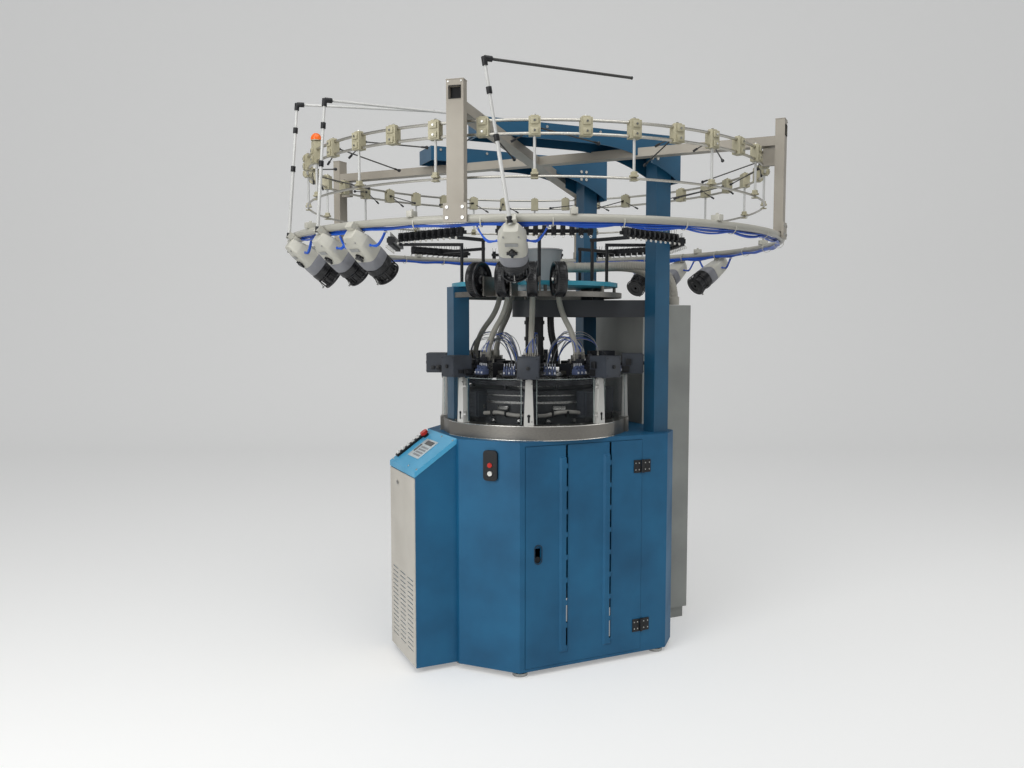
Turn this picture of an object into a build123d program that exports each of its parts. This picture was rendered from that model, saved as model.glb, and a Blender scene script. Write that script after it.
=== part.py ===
from build123d import *
import math
import os

os.makedirs("parts", exist_ok=True)

# Seamless circular knitting machine, in millimetres. The origin is on the floor, on the axis of the
# needle cylinder. +Z is up, the console faces -X and the front door faces -Y.

# Base cabinet
cabinet_west = 490
cabinet_east = 600
cabinet_front = 440
west_flat_half = 215
front_corner_west = 285
east_chamfer = 100
sheet = 3
shell_foot = 25
deck_bottom = 1062
deck_top = 1078
frame_inset = 25
rail = 50
rail_foot = 45
foot_r = 35
foot_pad = 14
foot_stud_r = 10

# Front door
door_left = -257
door_right = 354
door_foot = 40
door_head = 1056
door_gap = 2
door_depth = 18
door_proud = 2
rib_width = 47
rib_rise = 8
rib_slope = 9
rib_left_x = -87
rib_right_x = 143
rib_foot = 90
rib_head = 1003
slot_length = 84
slot_width = 11
slot_pitch = 106
slot_first = 123
slot_count = 9
grip_x = -194
grip_z = 563
grip_width = 37
grip_height = 88
grip_depth = 14
hinge_heights = (130, 900)
hinge_height = 60
hinge_leaf = 46
hinge_r = 7
hinge_pin_r = 4
running = 0.1
seat = 0.3

# Console on the aisle side
console_depth = 200
console_half = 190
console_front_top = 935
console_cover = 25
panel_thickness = 4
louvre_rows = 16
louvre_columns = 3
louvre_width = 84
louvre_height = 6
louvre_pitch = 22
louvre_foot = 90
lock_r = 9
key_count = 5
key_pitch = 30
key_side = 15
key_bar_width = 28
key_bar_height = 12
key_bar_y = 162
key_bar_start = 36
display_length = 120
display_width = 150
display_height = 3
stop_head_r = 19
stop_head_height = 14
stop_collar_r = 15
stop_collar_height = 10
stop_stem_r = 8
stop_y = 130
stop_along = 205
stop_gap = 5
switch_plate_width = 68
switch_plate_height = 138
switch_plate_thickness = 14
switch_plate_z = 968
switch_plate_share = 0.54
button_r = 11
button_proud = 5
button_depth = 9
button_clear = 0.2
red_button_rise = 2
white_button_drop = 36

# Needle cylinder, dial and drive
cylinder_r = 190.5
cylinder_bore = 178
cylinder_rise = 45
cylinder_hub_r = 200
cylinder_flange_r = 235
cylinder_flange = 20
trick_count = 84
trick_width = 3
trick_depth = 3.5
trick_length = 42
bearing_foot = 960
bearing_wall = 30
pulley_r = 215
pulley_foot = 900
pulley_head = 945
motor_x = 380
motor_r = 75
motor_length = 260
motor_pulley_r = 45
motor_shaft_r = 14
bracket_thickness = 12
bracket_half = 125
bracket_west = 300
bracket_east = 470
belt_thickness = 5
dial_r = 174
dial_gap = 5
dial_rim = 14
dial_hub_r = 40
dial_hub_rise = 26
dial_shaft_r = 20
dial_shaft_rise = 150
column_r = 45
column_flange_r = 130
column_flange = 12
column_gap = 5
tube_r = 150
tube_wall = 4
tube_below_cylinder = 55
tube_flare_r = 168
tube_flare_rise = 60
tube_joint = 760
outlet_foot = 150
outlet_head = 430

# Cam ring, selectors, tray and guards
cam_r = 330
cam_foot_r = 345
cam_foot = 22
cam_clear = 1.5
selector_width = 60
selector_depth = 62
tray_rise = 67
tray_top = deck_top + tray_rise
selector_above_tray = 20
selector_height = 125
selector_foot = tray_top + selector_above_tray
selector_head = selector_foot + selector_height
cam_above_selector = 10
cam_top = selector_head + cam_above_selector
cylinder_top = cam_top + cylinder_rise
dial_hub_top = cylinder_top + dial_gap + dial_rim + dial_hub_rise
dial_shaft_top = dial_hub_top + dial_shaft_rise
tube_top = cylinder_top - tube_below_cylinder
tray_inner = 400
tray_outer = 455
tray_lobe = 470
tray_lobes = ((-175, -63), (-40, 27), (50, 162))
feed_count = 8
feed_first = -164
post_r = 450
post_foot_width = 45
post_foot_depth = 30
post_head_width = 30
post_head_depth = 22
post_neck = 8
box_side = 98
box_depth = 100
box_inner_r = 435
box_below_head = 22
guard_r = 450
guard_thickness = 4
guard_above_post = 1
guard_margin = 3.2
guard_hinge_margin = 4.0
guard_hinge_heights = (1180, 1310)
guard_pin_r = 2.5
guard_barrel_r = 5
guard_barrel = 12
guard_lug = 8
guard_door_bays = (0, 1)

# Feeding heads round the cylinder
saddle_inner = 300
saddle_outer = 352
saddle_gap = 18
saddle_thickness = 20
saddle_foot = cam_top + saddle_gap
saddle_top = saddle_foot + saddle_thickness
saddle_pillar_r = 9
head_width = 74
head_inner = 268
head_outer = 335
head_step = 4
head_nose_foot = 20
head_nose_drop = 12
head_height = 92
head_top = saddle_top + head_height
finger_count = 6
finger_pitch = 11
finger_thickness = 3
finger_reach = 58
finger_rise = 34
finger_height = 40
finger_foot = saddle_top + finger_rise
finger_head = finger_foot + finger_height
arm_rise = 60
arm_thickness = 14
arm_foot = saddle_top + arm_rise
arm_head = arm_foot + arm_thickness
arm_half = 20
box_foot = saddle_top + box_below_head
post_head = box_foot - post_neck
guard_head = post_head + guard_above_post

# Columns, bridge and support plate
left_column_x = -395
left_column_y = 30
left_column_depth = 80
column_width = 90
rear_column_x = 490
rear_column_y = 350
bridge_above_shaft = 96
bridge_height = 82
bridge_foot = dial_shaft_top + bridge_above_shaft
bridge_head = bridge_foot + bridge_height
bridge_hub_r = 110
bridge_wall = 12
pad_r = 30
pad_x = 330
pad_y = 60
pad_height = 62
plate_r = 410
plate_thickness = 20
plate_foot = bridge_head + pad_height
plate_head = plate_foot + plate_thickness
rim_inner = 400
rim_outer = 430
rim_thickness = 24
rim_drop = 52
rim_foot = plate_foot - rim_drop
rim_head = rim_foot + rim_thickness
rim_spacer_r = 8
rim_spacer_at = 403
canister_x = 45
canister_foot_r = 65
canister_top_r = 98
canister_height = 173
canister_top = plate_head + canister_height
spigot_rise = 85
canister_spigot_z = plate_head + spigot_rise
spigot_r = 19
spigot_root = 40
spigot_reach = 102
hose_r = 14
hose_top_r = 170
hose_foot_r = 298
hose_straight = 95
hose_feeds = (0, 1, 2, 6, 7)
black_hose_r = 18
black_hose_start = (80, -20)
black_hose_end = (100, -32)
black_hose_top_straight = 76
black_hose_foot_straight = 78
large_hose_r = 23
large_hose_y = 50
large_hose_straight = 130
large_hose_crest = (610, 22)
large_hose_drop = (750, 1835)
large_hose_spread = 1.6
large_hose_shift = 40
lead_r = 5
lead_turn = 6.5
lead_dip_turn = 5
lead_sag = 62
lead_out = 12
lead_entry_z = 60

# Elastane wheels
wheel_angles = (-145, -131, -117, -104)
wheel_r = 80
wheel_width = 48
wheel_at = 512
wheel_z = plate_head
wheel_axle_r = 6
wheel_web = 16
wheel_rim = 14
wheel_hub_r = 24
bracket_plate = 8
bracket_gap = 4

# Sensor rails above the support plate
sensor_upright_r = 8
sensor_upright_at = 360
sensor_rise = 185
sensor_z = plate_head + sensor_rise
sensor_bar = 15
sensor_drop = 12
sensor_at = 665
sensor_half = 205
sensor_count = 11
sensor_pitch = 38
sensor_width = 20
sensor_reach = 22
sensor_height = 40

# Upper frame
ring_r = 1170
ring_tube_r = 15
ring_z = 1990
bundle_r = 7
creel_angles = (-130, -50, 50, 130)
creel_post_width = 66
creel_post_depth = 40
creel_post_top = 2484
beam_width = 60
beam_foot = 2375
beam_head = 2415
creel_plate_width = 90
creel_plate_thickness = 6
creel_plate_top = 2045
rail_inset = 80
rail_r = ring_r - rail_inset
rail_tube_r = 6
rail_heights = (2305, 2355)
mid_rail_z = 2150
mid_rail_tube_r = 5
hanger_r = 5
clamp_first = -176
clamp_pitch = 10
clamp_width = 44
clamp_depth = 36
clamp_reach = 9
window_side = 40
window_drop = 44
window_depth = 14
arm_y = 340
arm_width = 180
arm_tip = -450
arm_root = 560
arm_top = 2485
arm_tip_foot = 2415
arm_bend_x = 70
arm_mid_x = 330
arm_mid_z = 2378
arm_root_z = 2270
arm_sheet = 5
beacon_base = 34
beacon_base_height = 26
beacon_neck_r = 12
beacon_neck = 6
beacon_r = 22
beacon_wall = 8

# Storage feeders on the ring
feeder_angles = (-177, -162, -152, -120, 3, 18, 28, 60)
feeder_tilt = 54
feeder_offset = 55
feeder_back = -12
feeder_nose = 155
feeder_top_width = 56
feeder_top_depth = 46
feeder_top_round = 8
feeder_shoulder = 32
feeder_shoulder_width = 102
feeder_shoulder_depth = 62
feeder_shoulder_round = 14
feeder_nose_width = 110
feeder_nose_depth = 100
feeder_nose_round = 38
feeder_clamp = 20
feeder_cap_r = 53
feeder_cap_step = 4
feeder_cap = 34
feeder_knob_r = 13
feeder_knob_height = 10
feeder_knob_z = 82
drum_r = 50
drum_waist_r = 43
drum_flange = 6
drum_length = 50
drum_pin_r = 8
drum_pin_end = 4
pole_feeders = (0, 1, 3)
pole_lengths = (586, 540, 580)
pole_leans = (4.5, 4, -10)
pole_arm_turns = (-12.7, 0, 0)
pole_arm_lengths = (587, 606, 600)
pole_r = 7
pole_joint_r = 10
pole_joint = 24
pole_joint_share = 0.52
pole_arm_r = 5
pole_elbow = 26
pole_socket = 14
pole_clear = 2

# Electrical cabinet behind the machine
locker_depth = 300
locker_front = -60
locker_back = 440
locker_top = 1700
locker_plinth = 60


def block(x0, x1, y0, y1, z0, z1):
    """A block between two corners."""
    middle = Pos((x0 + x1) / 2, (y0 + y1) / 2, (z0 + z1) / 2)
    return middle * Box(x1 - x0, y1 - y0, z1 - z0)


def rod(radius, x, y, z0, z1):
    """An upright round bar."""
    return Pos(x, y, (z0 + z1) / 2) * Cylinder(radius, z1 - z0)


def turned(*points):
    """A piece turned about the machine's axis, from (radius, height) points."""
    return revolve(Plane.XZ * make_face(Polyline(*points, close=True)), Axis.Z)


def sector(r0, r1, a0, a1, z0, z1):
    """Part of a flat ring between two angles in degrees."""
    outer = CenterArc((0, 0), r1, a0, a1 - a0)
    inner = CenterArc((0, 0), r0, a0, a1 - a0)
    ends = [Line(outer @ 0, inner @ 0), Line(outer @ 1, inner @ 1)]
    return Pos(0, 0, z0) * extrude(make_face([outer, inner] + ends), z1 - z0)


def pipe(points, radius):
    """A hose along straight runs joined by the largest round bends that they leave room for."""
    corners = [Vector(*p) for p in points]
    runs = [(b - a) for a, b in zip(corners, corners[1:])]
    bends = []
    for before, after in zip(runs, runs[1:]):
        half_turn = math.radians(before.get_angle(after)) / 2
        bends.append(0.45 * min(before.length, after.length) / math.tan(half_turn))
    path = FilletPolyline(*corners, radius=bends)
    start = Plane(origin=path @ 0, z_dir=path % 0)
    return sweep(start * Circle(radius), path=path)


def at(angle, shape):
    """The shape turned about the machine's axis."""
    return Rot(0, 0, angle) * shape


def save(node, *shapes):
    """Writes one named piece, or one group of like pieces."""
    solids = [solid for shape in shapes for solid in shape.solids()]
    export_step(Compound(solids), f"parts/{node}.step")


feed_angles = [feed_first + 360 / feed_count * n for n in range(feed_count)]

cabinet_outline = (
    (-cabinet_west, west_flat_half),
    (-cabinet_west, -west_flat_half),
    (-front_corner_west, -cabinet_front),
    (cabinet_east - east_chamfer, -cabinet_front),
    (cabinet_east, east_chamfer - cabinet_front),
    (cabinet_east, cabinet_front - east_chamfer),
    (cabinet_east - east_chamfer, cabinet_front),
    (-front_corner_west, cabinet_front),
)


def cabinet_plan(inset):
    """The cabinet's outline in plan, moved inwards."""
    face = make_face(Polyline(*cabinet_outline, close=True))
    return offset(face, amount=-inset, kind=Kind.INTERSECTION) if inset else face


def cabinet_wall(inset, thickness, z0, z1):
    """A wall that follows the cabinet's outline."""
    return Pos(0, 0, z0) * extrude(cabinet_plan(inset) - cabinet_plan(inset + thickness), z1 - z0)


# Welded frame: a foot rail, a head rail and a post in each corner, on levelling feet
frame_corners = (
    (-cabinet_west + frame_inset, -west_flat_half + rail),
    (-cabinet_west + frame_inset, west_flat_half - 2 * rail),
    (-front_corner_west, -cabinet_front + frame_inset),
    (cabinet_east - east_chamfer - rail, -cabinet_front + frame_inset),
    (cabinet_east - east_chamfer - rail, cabinet_front - frame_inset - rail),
    (-front_corner_west, cabinet_front - frame_inset - rail),
)


def make_base_frame():
    frame = cabinet_wall(frame_inset, rail, rail_foot, rail_foot + rail)
    frame += cabinet_wall(frame_inset, rail, deck_bottom - rail, deck_bottom)
    for x, y in frame_corners:
        frame += block(x, x + rail, y, y + rail, rail_foot, deck_bottom)
    shelf_half = tube_r + rail
    reach = cabinet_front - frame_inset - sheet
    shelf = block(-shelf_half, shelf_half, -reach, reach, rail_foot, rail_foot + sheet)
    frame += shelf - rod(tube_r - tube_wall, 0, 0, 0, deck_bottom)
    return frame


def make_levelling_feet():
    feet = []
    for x, y in frame_corners:
        cx = x + rail / 2
        cy = y + rail / 2
        pad = rod(foot_r, cx, cy, 0, foot_pad)
        feet.append(pad + rod(foot_stud_r, cx, cy, foot_pad, rail_foot))
    return feet


def make_cabinet_shell():
    shell = cabinet_wall(0, sheet, shell_foot, deck_bottom)
    opening = block(door_left - door_gap, door_right + door_gap, -cabinet_front - sheet,
                    -cabinet_front + 2 * sheet, door_foot - door_gap, door_head + door_gap)
    return shell - opening


def make_deck():
    bore = cylinder_hub_r + seat
    deck = Pos(0, 0, deck_bottom) * extrude(cabinet_plan(0), deck_top - deck_bottom)
    deck += rod(bore + bearing_wall, 0, 0, bearing_foot, deck_bottom)
    deck += make_motor_bracket()
    return deck - rod(bore, 0, 0, bearing_foot - 1, deck_top + 1)


def make_motor_bracket():
    """The bridge cast under the deck that carries the motor below its plate."""
    plate_foot_z = pulley_foot - 2 * bracket_thickness
    plate = block(bracket_west, bracket_east, -bracket_half, bracket_half,
                  plate_foot_z, plate_foot_z + bracket_thickness)
    for side in (-1, 1):
        y = side * (bracket_half - bracket_thickness / 2)
        plate += block(bracket_west, bracket_east, y - bracket_thickness / 2, y + bracket_thickness / 2,
                       plate_foot_z, deck_bottom)
    return plate - rod(motor_shaft_r + 2, motor_x, 0, plate_foot_z - 1, pulley_foot)


def make_motor():
    head = pulley_foot - 2 * bracket_thickness
    body = rod(motor_r, motor_x, 0, head - motor_length, head)
    terminal_box = block(motor_x + motor_r - 8, motor_x + motor_r + 42, -38, 38, head - 170, head - 70)
    fan_cover = rod(motor_r - 6, motor_x, 0, head - motor_length - 40, head - motor_length)
    return body + terminal_box + fan_cover


def make_motor_pulley():
    shaft_foot = pulley_foot - 2 * bracket_thickness + seat
    pulley = rod(motor_pulley_r, motor_x, 0, pulley_foot, pulley_head)
    return pulley + rod(motor_shaft_r, motor_x, 0, shaft_foot, pulley_foot)


def belt_loop(grow):
    """The flat area inside a loop round both pulleys."""
    large = CenterArc((0, 0), pulley_r + grow, 0, 360)
    small = CenterArc((motor_x, 0), motor_pulley_r + grow, 0, 360)
    return make_hull([large, small])


def make_belt():
    loop = belt_loop(seat + belt_thickness) - belt_loop(seat)
    margin = 5
    return Pos(0, 0, pulley_foot + margin) * extrude(loop, pulley_head - pulley_foot - 2 * margin)


def make_needle_cylinder():
    """Cylinder with its flange, hub and pulley, and the tricks cut down from its top edge."""
    flange_foot = deck_top + seat
    body = turned(
        (cylinder_bore, pulley_foot), (pulley_r, pulley_foot), (pulley_r, pulley_head),
        (cylinder_hub_r, pulley_head), (cylinder_hub_r, flange_foot), (cylinder_flange_r, flange_foot),
        (cylinder_flange_r, flange_foot + cylinder_flange), (cylinder_r, flange_foot + cylinder_flange),
        (cylinder_r, cylinder_top), (cylinder_bore, cylinder_top))
    trick = block(cylinder_r - trick_depth, cylinder_r + 1, -trick_width / 2, trick_width / 2,
                  cylinder_top - trick_length, cylinder_top + 1)
    tricks = [at(360 / trick_count * n, trick) for n in range(trick_count)]
    return body - Compound([t.solid() for t in tricks])


def make_dial():
    foot = cylinder_top + dial_gap
    return turned(
        (0, foot), (dial_r, foot), (dial_r, foot + dial_rim), (dial_hub_r, dial_hub_top - 8),
        (dial_hub_r, dial_hub_top), (dial_shaft_r, dial_hub_top), (dial_shaft_r, dial_shaft_top),
        (0, dial_shaft_top))


def make_dial_column():
    foot = dial_hub_top + column_gap
    bore = dial_shaft_r + running
    return turned(
        (bore, foot), (column_flange_r, foot), (column_flange_r, foot + column_flange),
        (column_r, foot + column_flange), (column_r, bridge_foot), (0, bridge_foot),
        (0, dial_shaft_top + column_gap), (bore, dial_shaft_top + column_gap))


def make_fabric_tube():
    """Tube that takes the knitted fabric down, in two lengths, with its outlet facing the door."""
    foot = rail_foot + sheet
    flare_foot = tube_top - tube_flare_rise
    bore = tube_r - tube_wall
    lower = turned((bore, foot), (tube_r, foot), (tube_r, tube_joint), (bore, tube_joint))
    upper = turned(
        (bore, tube_joint), (tube_r, tube_joint), (tube_r, flare_foot), (tube_flare_r, tube_top),
        (tube_flare_r - tube_wall, tube_top), (bore, flare_foot))
    half = tube_r * 0.7
    return [lower - block(-half, half, -tube_r - 5, 0, outlet_foot, outlet_head), upper]


def make_cam_ring():
    inner = cylinder_r + cam_clear
    recess = cylinder_flange_r + 6
    recess_top = deck_top + seat + cylinder_flange + 8
    bevel = 8
    return turned(
        (recess, deck_top), (cam_foot_r, deck_top), (cam_foot_r, deck_top + cam_foot),
        (cam_r, deck_top + cam_foot), (cam_r, cam_top - bevel), (cam_r - bevel, cam_top),
        (inner, cam_top), (inner, recess_top), (recess, recess_top))


def make_selector_boxes():
    """Boxes of selecting actuators, bolted to the cam ring under each feeding head."""
    face = cam_r + selector_depth
    half = selector_width / 2
    case = block(cam_r, face - 12, -half, half, selector_foot, selector_head)
    lid = block(face - 12, face, -half + 4, half - 4, selector_foot + 5, selector_head - 5)
    screw = Pos(face, 0, selector_head - 25) * Rot(0, 90, 0) * Cylinder(5, 6)
    return [at(angle, case + lid + screw) for angle in feed_angles]


def make_tray():
    tray = sector(tray_inner, tray_outer, 0, 180, deck_top, tray_top)
    tray += sector(tray_inner, tray_outer, 180, 360, deck_top, tray_top)
    for a0, a1 in tray_lobes:
        tray += sector(tray_inner + 20, tray_lobe, a0, a1, deck_top, tray_top)
    return tray - left_column_footprint(deck_top, tray_top)


def left_column_footprint(z0, z1):
    """The space that the left column passes through."""
    dx = left_column_depth / 2
    dy = column_width / 2
    return block(left_column_x - dx, left_column_x + dx, left_column_y - dy, left_column_y + dy, z0, z1)


def guard_hinge_offset():
    """Distance along the ring from a guard post's middle to the hinge axis of its guard."""
    return post_foot_width / 2 + guard_barrel_r + 1.5


def make_guard_post(lug_side):
    """A tapered post; a lug_side of 1 or -1 gives it the pins of a guard that swings."""
    foot = Plane((post_r, 0, tray_top)) * Rectangle(post_foot_depth, post_foot_width)
    head = Plane((post_r, 0, post_head)) * Rectangle(post_head_depth, post_head_width)
    post = loft([foot, head])
    neck = post_head_depth / 2 - 3
    post += block(post_r - neck, post_r + neck, -neck, neck, post_head, box_foot)
    if lug_side:
        y = lug_side * guard_hinge_offset()
        for z in guard_hinge_heights:
            y0, y1 = sorted((0, y))
            x = guard_r + guard_barrel_r + 3
            post += block(x - 8, x + guard_barrel_r - 1, y0, y1, z, z + guard_lug)
            post += rod(guard_barrel_r, x, y, z, z + guard_lug)
            post += rod(guard_pin_r, x, y, z + guard_lug, z + guard_lug + guard_barrel + 2)
    return post


def make_guard_posts():
    left, right = guard_door_bays
    lugs = {left: 1, right + 1: -1}
    return [at(angle, make_guard_post(lugs.get(n, 0))) for n, angle in enumerate(feed_angles)]


def guard_panel(a0, a1, z0):
    inner = guard_r - guard_thickness / 2
    return sector(inner, inner + guard_thickness, a0, a1, z0, guard_head)


def make_fixed_guards():
    step = 360 / feed_count
    panels = []
    for n, angle in enumerate(feed_angles):
        if n not in guard_door_bays:
            panels.append(guard_panel(angle + guard_margin, angle + step - guard_margin, tray_top))
    return panels


def make_guard_door(post_angle, side):
    """A clear guard hung on the post at post_angle; side is the way that it extends round the ring."""
    step = 360 / feed_count
    near = post_angle + side * guard_hinge_margin
    far = post_angle + side * (step - guard_margin)
    door = guard_panel(min(near, far), max(near, far), tray_top + 1.5)
    y = side * guard_hinge_offset()
    x = guard_r + guard_barrel_r + 3
    edge = guard_r * math.sin(math.radians(guard_hinge_margin))
    for z in guard_hinge_heights:
        z0 = z + guard_lug + seat
        y0, y1 = sorted((y, side * (edge + 8)))
        barrel = rod(guard_barrel_r, x, y, z0, z0 + guard_barrel)
        tab = block(guard_r - 2.5, x + 2, y0, y1, z0, z0 + guard_barrel)
        bore = rod(guard_pin_r + running, x, y, z0 - 1, z0 + guard_barrel + 1)
        door += at(post_angle, barrel + tab)
        door -= at(post_angle, bore)
    return door


def make_feed_boxes():
    half = box_side / 2
    outer = box_inner_r + box_depth
    case = block(box_inner_r, outer, -half, half, box_foot, box_foot + box_side)
    screw = Pos(outer, 0, box_foot + half) * Rot(0, 90, 0) * Cylinder(7, 8)
    return [at(angle, case + screw) for angle in feed_angles]


def make_feed_head():
    """A yarn feeding head: its block, the finger comb over the needles and the arm to its box."""
    half = head_width / 2
    root = saddle_inner + head_step
    head = block(root, head_outer, -half, half, saddle_top, head_top)
    head += block(head_inner, root, -half, half, saddle_top + head_nose_foot, head_top - head_nose_drop)
    head += block(head_outer, box_inner_r, -arm_half, arm_half, arm_foot, arm_head)
    for n in range(finger_count):
        y = (n - (finger_count - 1) / 2) * finger_pitch
        head += block(head_inner - finger_reach, head_inner, y - finger_thickness / 2,
                      y + finger_thickness / 2, finger_foot, finger_head)
    return head


def make_feed_heads():
    ring = turned((saddle_inner, saddle_foot), (saddle_outer, saddle_foot), (saddle_outer, saddle_top),
                  (saddle_inner, saddle_top))
    pillar = rod(saddle_pillar_r, (saddle_inner + cam_r) / 2, 0, cam_top, saddle_foot)
    for angle in feed_angles:
        ring += at(angle + 180 / feed_count, pillar)
    return [ring] + [at(angle, make_feed_head()) for angle in feed_angles]


def make_columns():
    left = left_column_footprint(deck_top, plate_foot)
    dx = left_column_depth / 2
    half = column_width / 2
    top = arm_top - arm_sheet
    columns = [left]
    for side in (-1, 1):
        y = side * rear_column_y
        columns.append(block(rear_column_x - dx, rear_column_x + dx, y - half, y + half, deck_top, top))
    return columns


def make_bridge():
    """Cast bridge from the two tall columns to the hub over the dial, hollow below."""
    dx = left_column_depth / 2
    reach = rear_column_y - column_width / 2
    hub = CenterArc((0, 0), bridge_hub_r, 0, 360)
    corners = Polyline((rear_column_x - dx, -reach), (rear_column_x + dx, -reach),
                       (rear_column_x + dx, reach), (rear_column_x - dx, reach), close=True)
    plan = make_hull([hub] + list(corners.edges()))
    bridge = Pos(0, 0, bridge_foot) * extrude(plan, bridge_head - bridge_foot)
    pocket = offset(plan, amount=-bridge_wall, kind=Kind.INTERSECTION) - Circle(bridge_hub_r)
    bridge -= Pos(0, 0, bridge_foot) * extrude(pocket, bridge_head - bridge_foot - bridge_wall)
    for side in (-1, 1):
        bridge += rod(pad_r, pad_x, side * pad_y, bridge_head, plate_foot)
    return bridge


def make_support_plate():
    plate = rod(plate_r, 0, 0, plate_foot, plate_head)
    return plate - rod(canister_foot_r - 15, canister_x, 0, plate_foot - 1, plate_head + 1)


def make_wheel_bracket():
    """Upright plate on the rim ring with the axle of an elastane wheel."""
    near = wheel_width / 2 + seat
    far = near + bracket_gap
    plate = block(rim_outer - 8, wheel_at + 14, far, far + bracket_plate, rim_foot, wheel_z + 14)
    turn = Rot(90, 0, 0)
    shoulder = Pos(wheel_at, (near + far) / 2, wheel_z) * turn * Cylinder(2 * wheel_axle_r, far - near)
    axle_end = -wheel_width / 2 - 2
    length = far - axle_end
    axle = Pos(wheel_at, axle_end + length / 2, wheel_z) * turn * Cylinder(wheel_axle_r, length)
    return plate + shoulder + axle


def make_rim_ring():
    ring = turned((rim_inner, rim_foot), (rim_outer, rim_foot), (rim_outer, rim_head),
                  (rim_inner, rim_head))
    for n in range(feed_count):
        spacer = rod(rim_spacer_r, rim_spacer_at, 0, rim_foot + 5, plate_foot)
        ring += at(feed_first + 10 + 360 / feed_count * n, spacer)
    for angle in wheel_angles:
        ring += at(angle, make_wheel_bracket())
    return ring - left_column_footprint(rim_foot - 1, plate_foot)


def make_wheel(angle):
    """Elastane wheel: a dished disc between two rims, turning on its bracket's axle."""
    half = wheel_width / 2
    web = wheel_web / 2
    bore = wheel_axle_r + running
    rim = wheel_r - wheel_rim
    profile = make_face(Polyline(
        (bore, -half), (wheel_hub_r, -half), (wheel_hub_r, -web), (rim, -web), (rim, -half),
        (wheel_r, -half), (wheel_r, half), (rim, half), (rim, web), (wheel_hub_r, web),
        (wheel_hub_r, half), (bore, half), close=True))
    wheel = revolve(Plane.XZ * profile, Axis.Z)
    return at(angle, Pos(wheel_at, 0, wheel_z) * Rot(90, 0, 0) * wheel)


def make_canister():
    """Tapered suction canister on the support plate, with two side spigots for the large hoses."""
    foot = plate_head
    wall = 3
    can = turned((canister_foot_r - wall, foot), (canister_foot_r, foot), (canister_top_r, canister_top - 8),
                 (canister_top_r - 8, canister_top), (0, canister_top), (0, canister_top - wall),
                 (canister_top_r - 10, canister_top - wall))
    length = spigot_reach - spigot_root
    for side in (-1, 1):
        middle = Pos(spigot_root + length / 2, side * large_hose_y, canister_spigot_z)
        can += middle * Rot(0, 90, 0) * Cylinder(spigot_r, length)
    return Pos(canister_x, 0, 0) * can


def make_suction_hoses():
    hoses = []
    for n in hose_feeds:
        points = [(hose_top_r, 0, plate_foot), (hose_top_r, 0, plate_foot - hose_straight),
                  (hose_foot_r, 0, head_top + hose_straight), (hose_foot_r, 0, head_top)]
        hoses.append(at(feed_angles[n], pipe(points, hose_r)))
    flange_top = dial_hub_top + column_gap + column_flange
    hoses.append(pipe([(*black_hose_start, bridge_foot),
                       (*black_hose_start, bridge_foot - black_hose_top_straight),
                       (*black_hose_end, flange_top + black_hose_foot_straight),
                       (*black_hose_end, flange_top)], black_hose_r))
    start_x = canister_x + spigot_reach + seat
    crest_x, crest_rise = large_hose_crest
    drop_x, drop_z = large_hose_drop
    for side in (-1, 1):
        y = side * large_hose_y
        spread = large_hose_spread * y - large_hose_shift
        hoses.append(pipe([(start_x, y, canister_spigot_z),
                           (start_x + large_hose_straight, y, canister_spigot_z),
                           (crest_x, spread, canister_spigot_z + crest_rise), (drop_x, spread, drop_z),
                           (drop_x, spread, locker_top)], large_hose_r))
    return hoses


def make_feeder_leads():
    """Bunched air and power leads that hang from the bundle in a loop to both sides of each feeder."""
    leads = []
    bundle_at, bundle_z = bundle_place()
    width = feeder_size_at(lead_entry_z)[0]
    top = Vector(bundle_at, 0, bundle_z - bundle_r - lead_r)
    dip = Vector(bundle_at, 0, bundle_z - lead_sag)
    for angle in feeder_angles:
        plane = feeder_plane(angle)
        for side in (-1, 1):
            reach = width / 2 + seat
            entry = plane.from_local_coords((side * reach, feeder_offset, lead_entry_z))
            stub = plane.from_local_coords((side * (reach + lead_out), feeder_offset, lead_entry_z))
            start = top.rotate(Axis.Z, angle + side * lead_turn)
            low = dip.rotate(Axis.Z, angle + side * lead_dip_turn)
            leads.append(pipe([tuple(start), tuple(low), tuple(stub), tuple(entry)], lead_r))
    return leads


def make_sensor_rail():
    """Upright, arm, and bar with its row of yarn sensors, bolted face to face."""
    upright = rod(sensor_upright_r, sensor_upright_at, 0, plate_head, sensor_z)
    arm = block(sensor_upright_at - sensor_upright_r, sensor_at, -sensor_upright_r, sensor_upright_r,
                sensor_z, sensor_z + sensor_bar)
    face = sensor_at + sensor_bar
    row = block(sensor_at, face, -sensor_half, sensor_half, sensor_z, sensor_z + sensor_bar)
    foot = sensor_z - sensor_drop
    for n in range(sensor_count):
        y = (n - (sensor_count - 1) / 2) * sensor_pitch
        row += block(face, face + sensor_reach, y - sensor_width / 2, y + sensor_width / 2, foot,
                     foot + sensor_height)
    return [upright, arm, row]


def make_sensor_rails():
    pitch = 360 / feed_count
    return [at(pitch * (n + 0.5), piece) for n in range(feed_count) for piece in make_sensor_rail()]


def make_creel_post():
    """Box post on the round tube, with its window, its foot plate and the bracket of the yarn rails."""
    dx = creel_post_depth / 2
    half = creel_post_width / 2
    outer = ring_r + dx
    ring_top = ring_z + ring_tube_r
    post = block(ring_r - dx, outer, -half, half, ring_top, creel_post_top)
    middle = creel_post_top - window_drop
    side = window_side / 2
    post -= block(outer - window_depth, outer + 1, -side, side, middle - side, middle + side)
    plate_x = ring_r + ring_tube_r
    post += block(plate_x, outer + creel_plate_thickness, -creel_plate_width / 2, creel_plate_width / 2,
                  ring_z - ring_tube_r, creel_plate_top)
    low, high = rail_heights
    post += block(rail_r + rail_tube_r, ring_r - dx, -12, 12, low - 12, high + 12)
    return post


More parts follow.
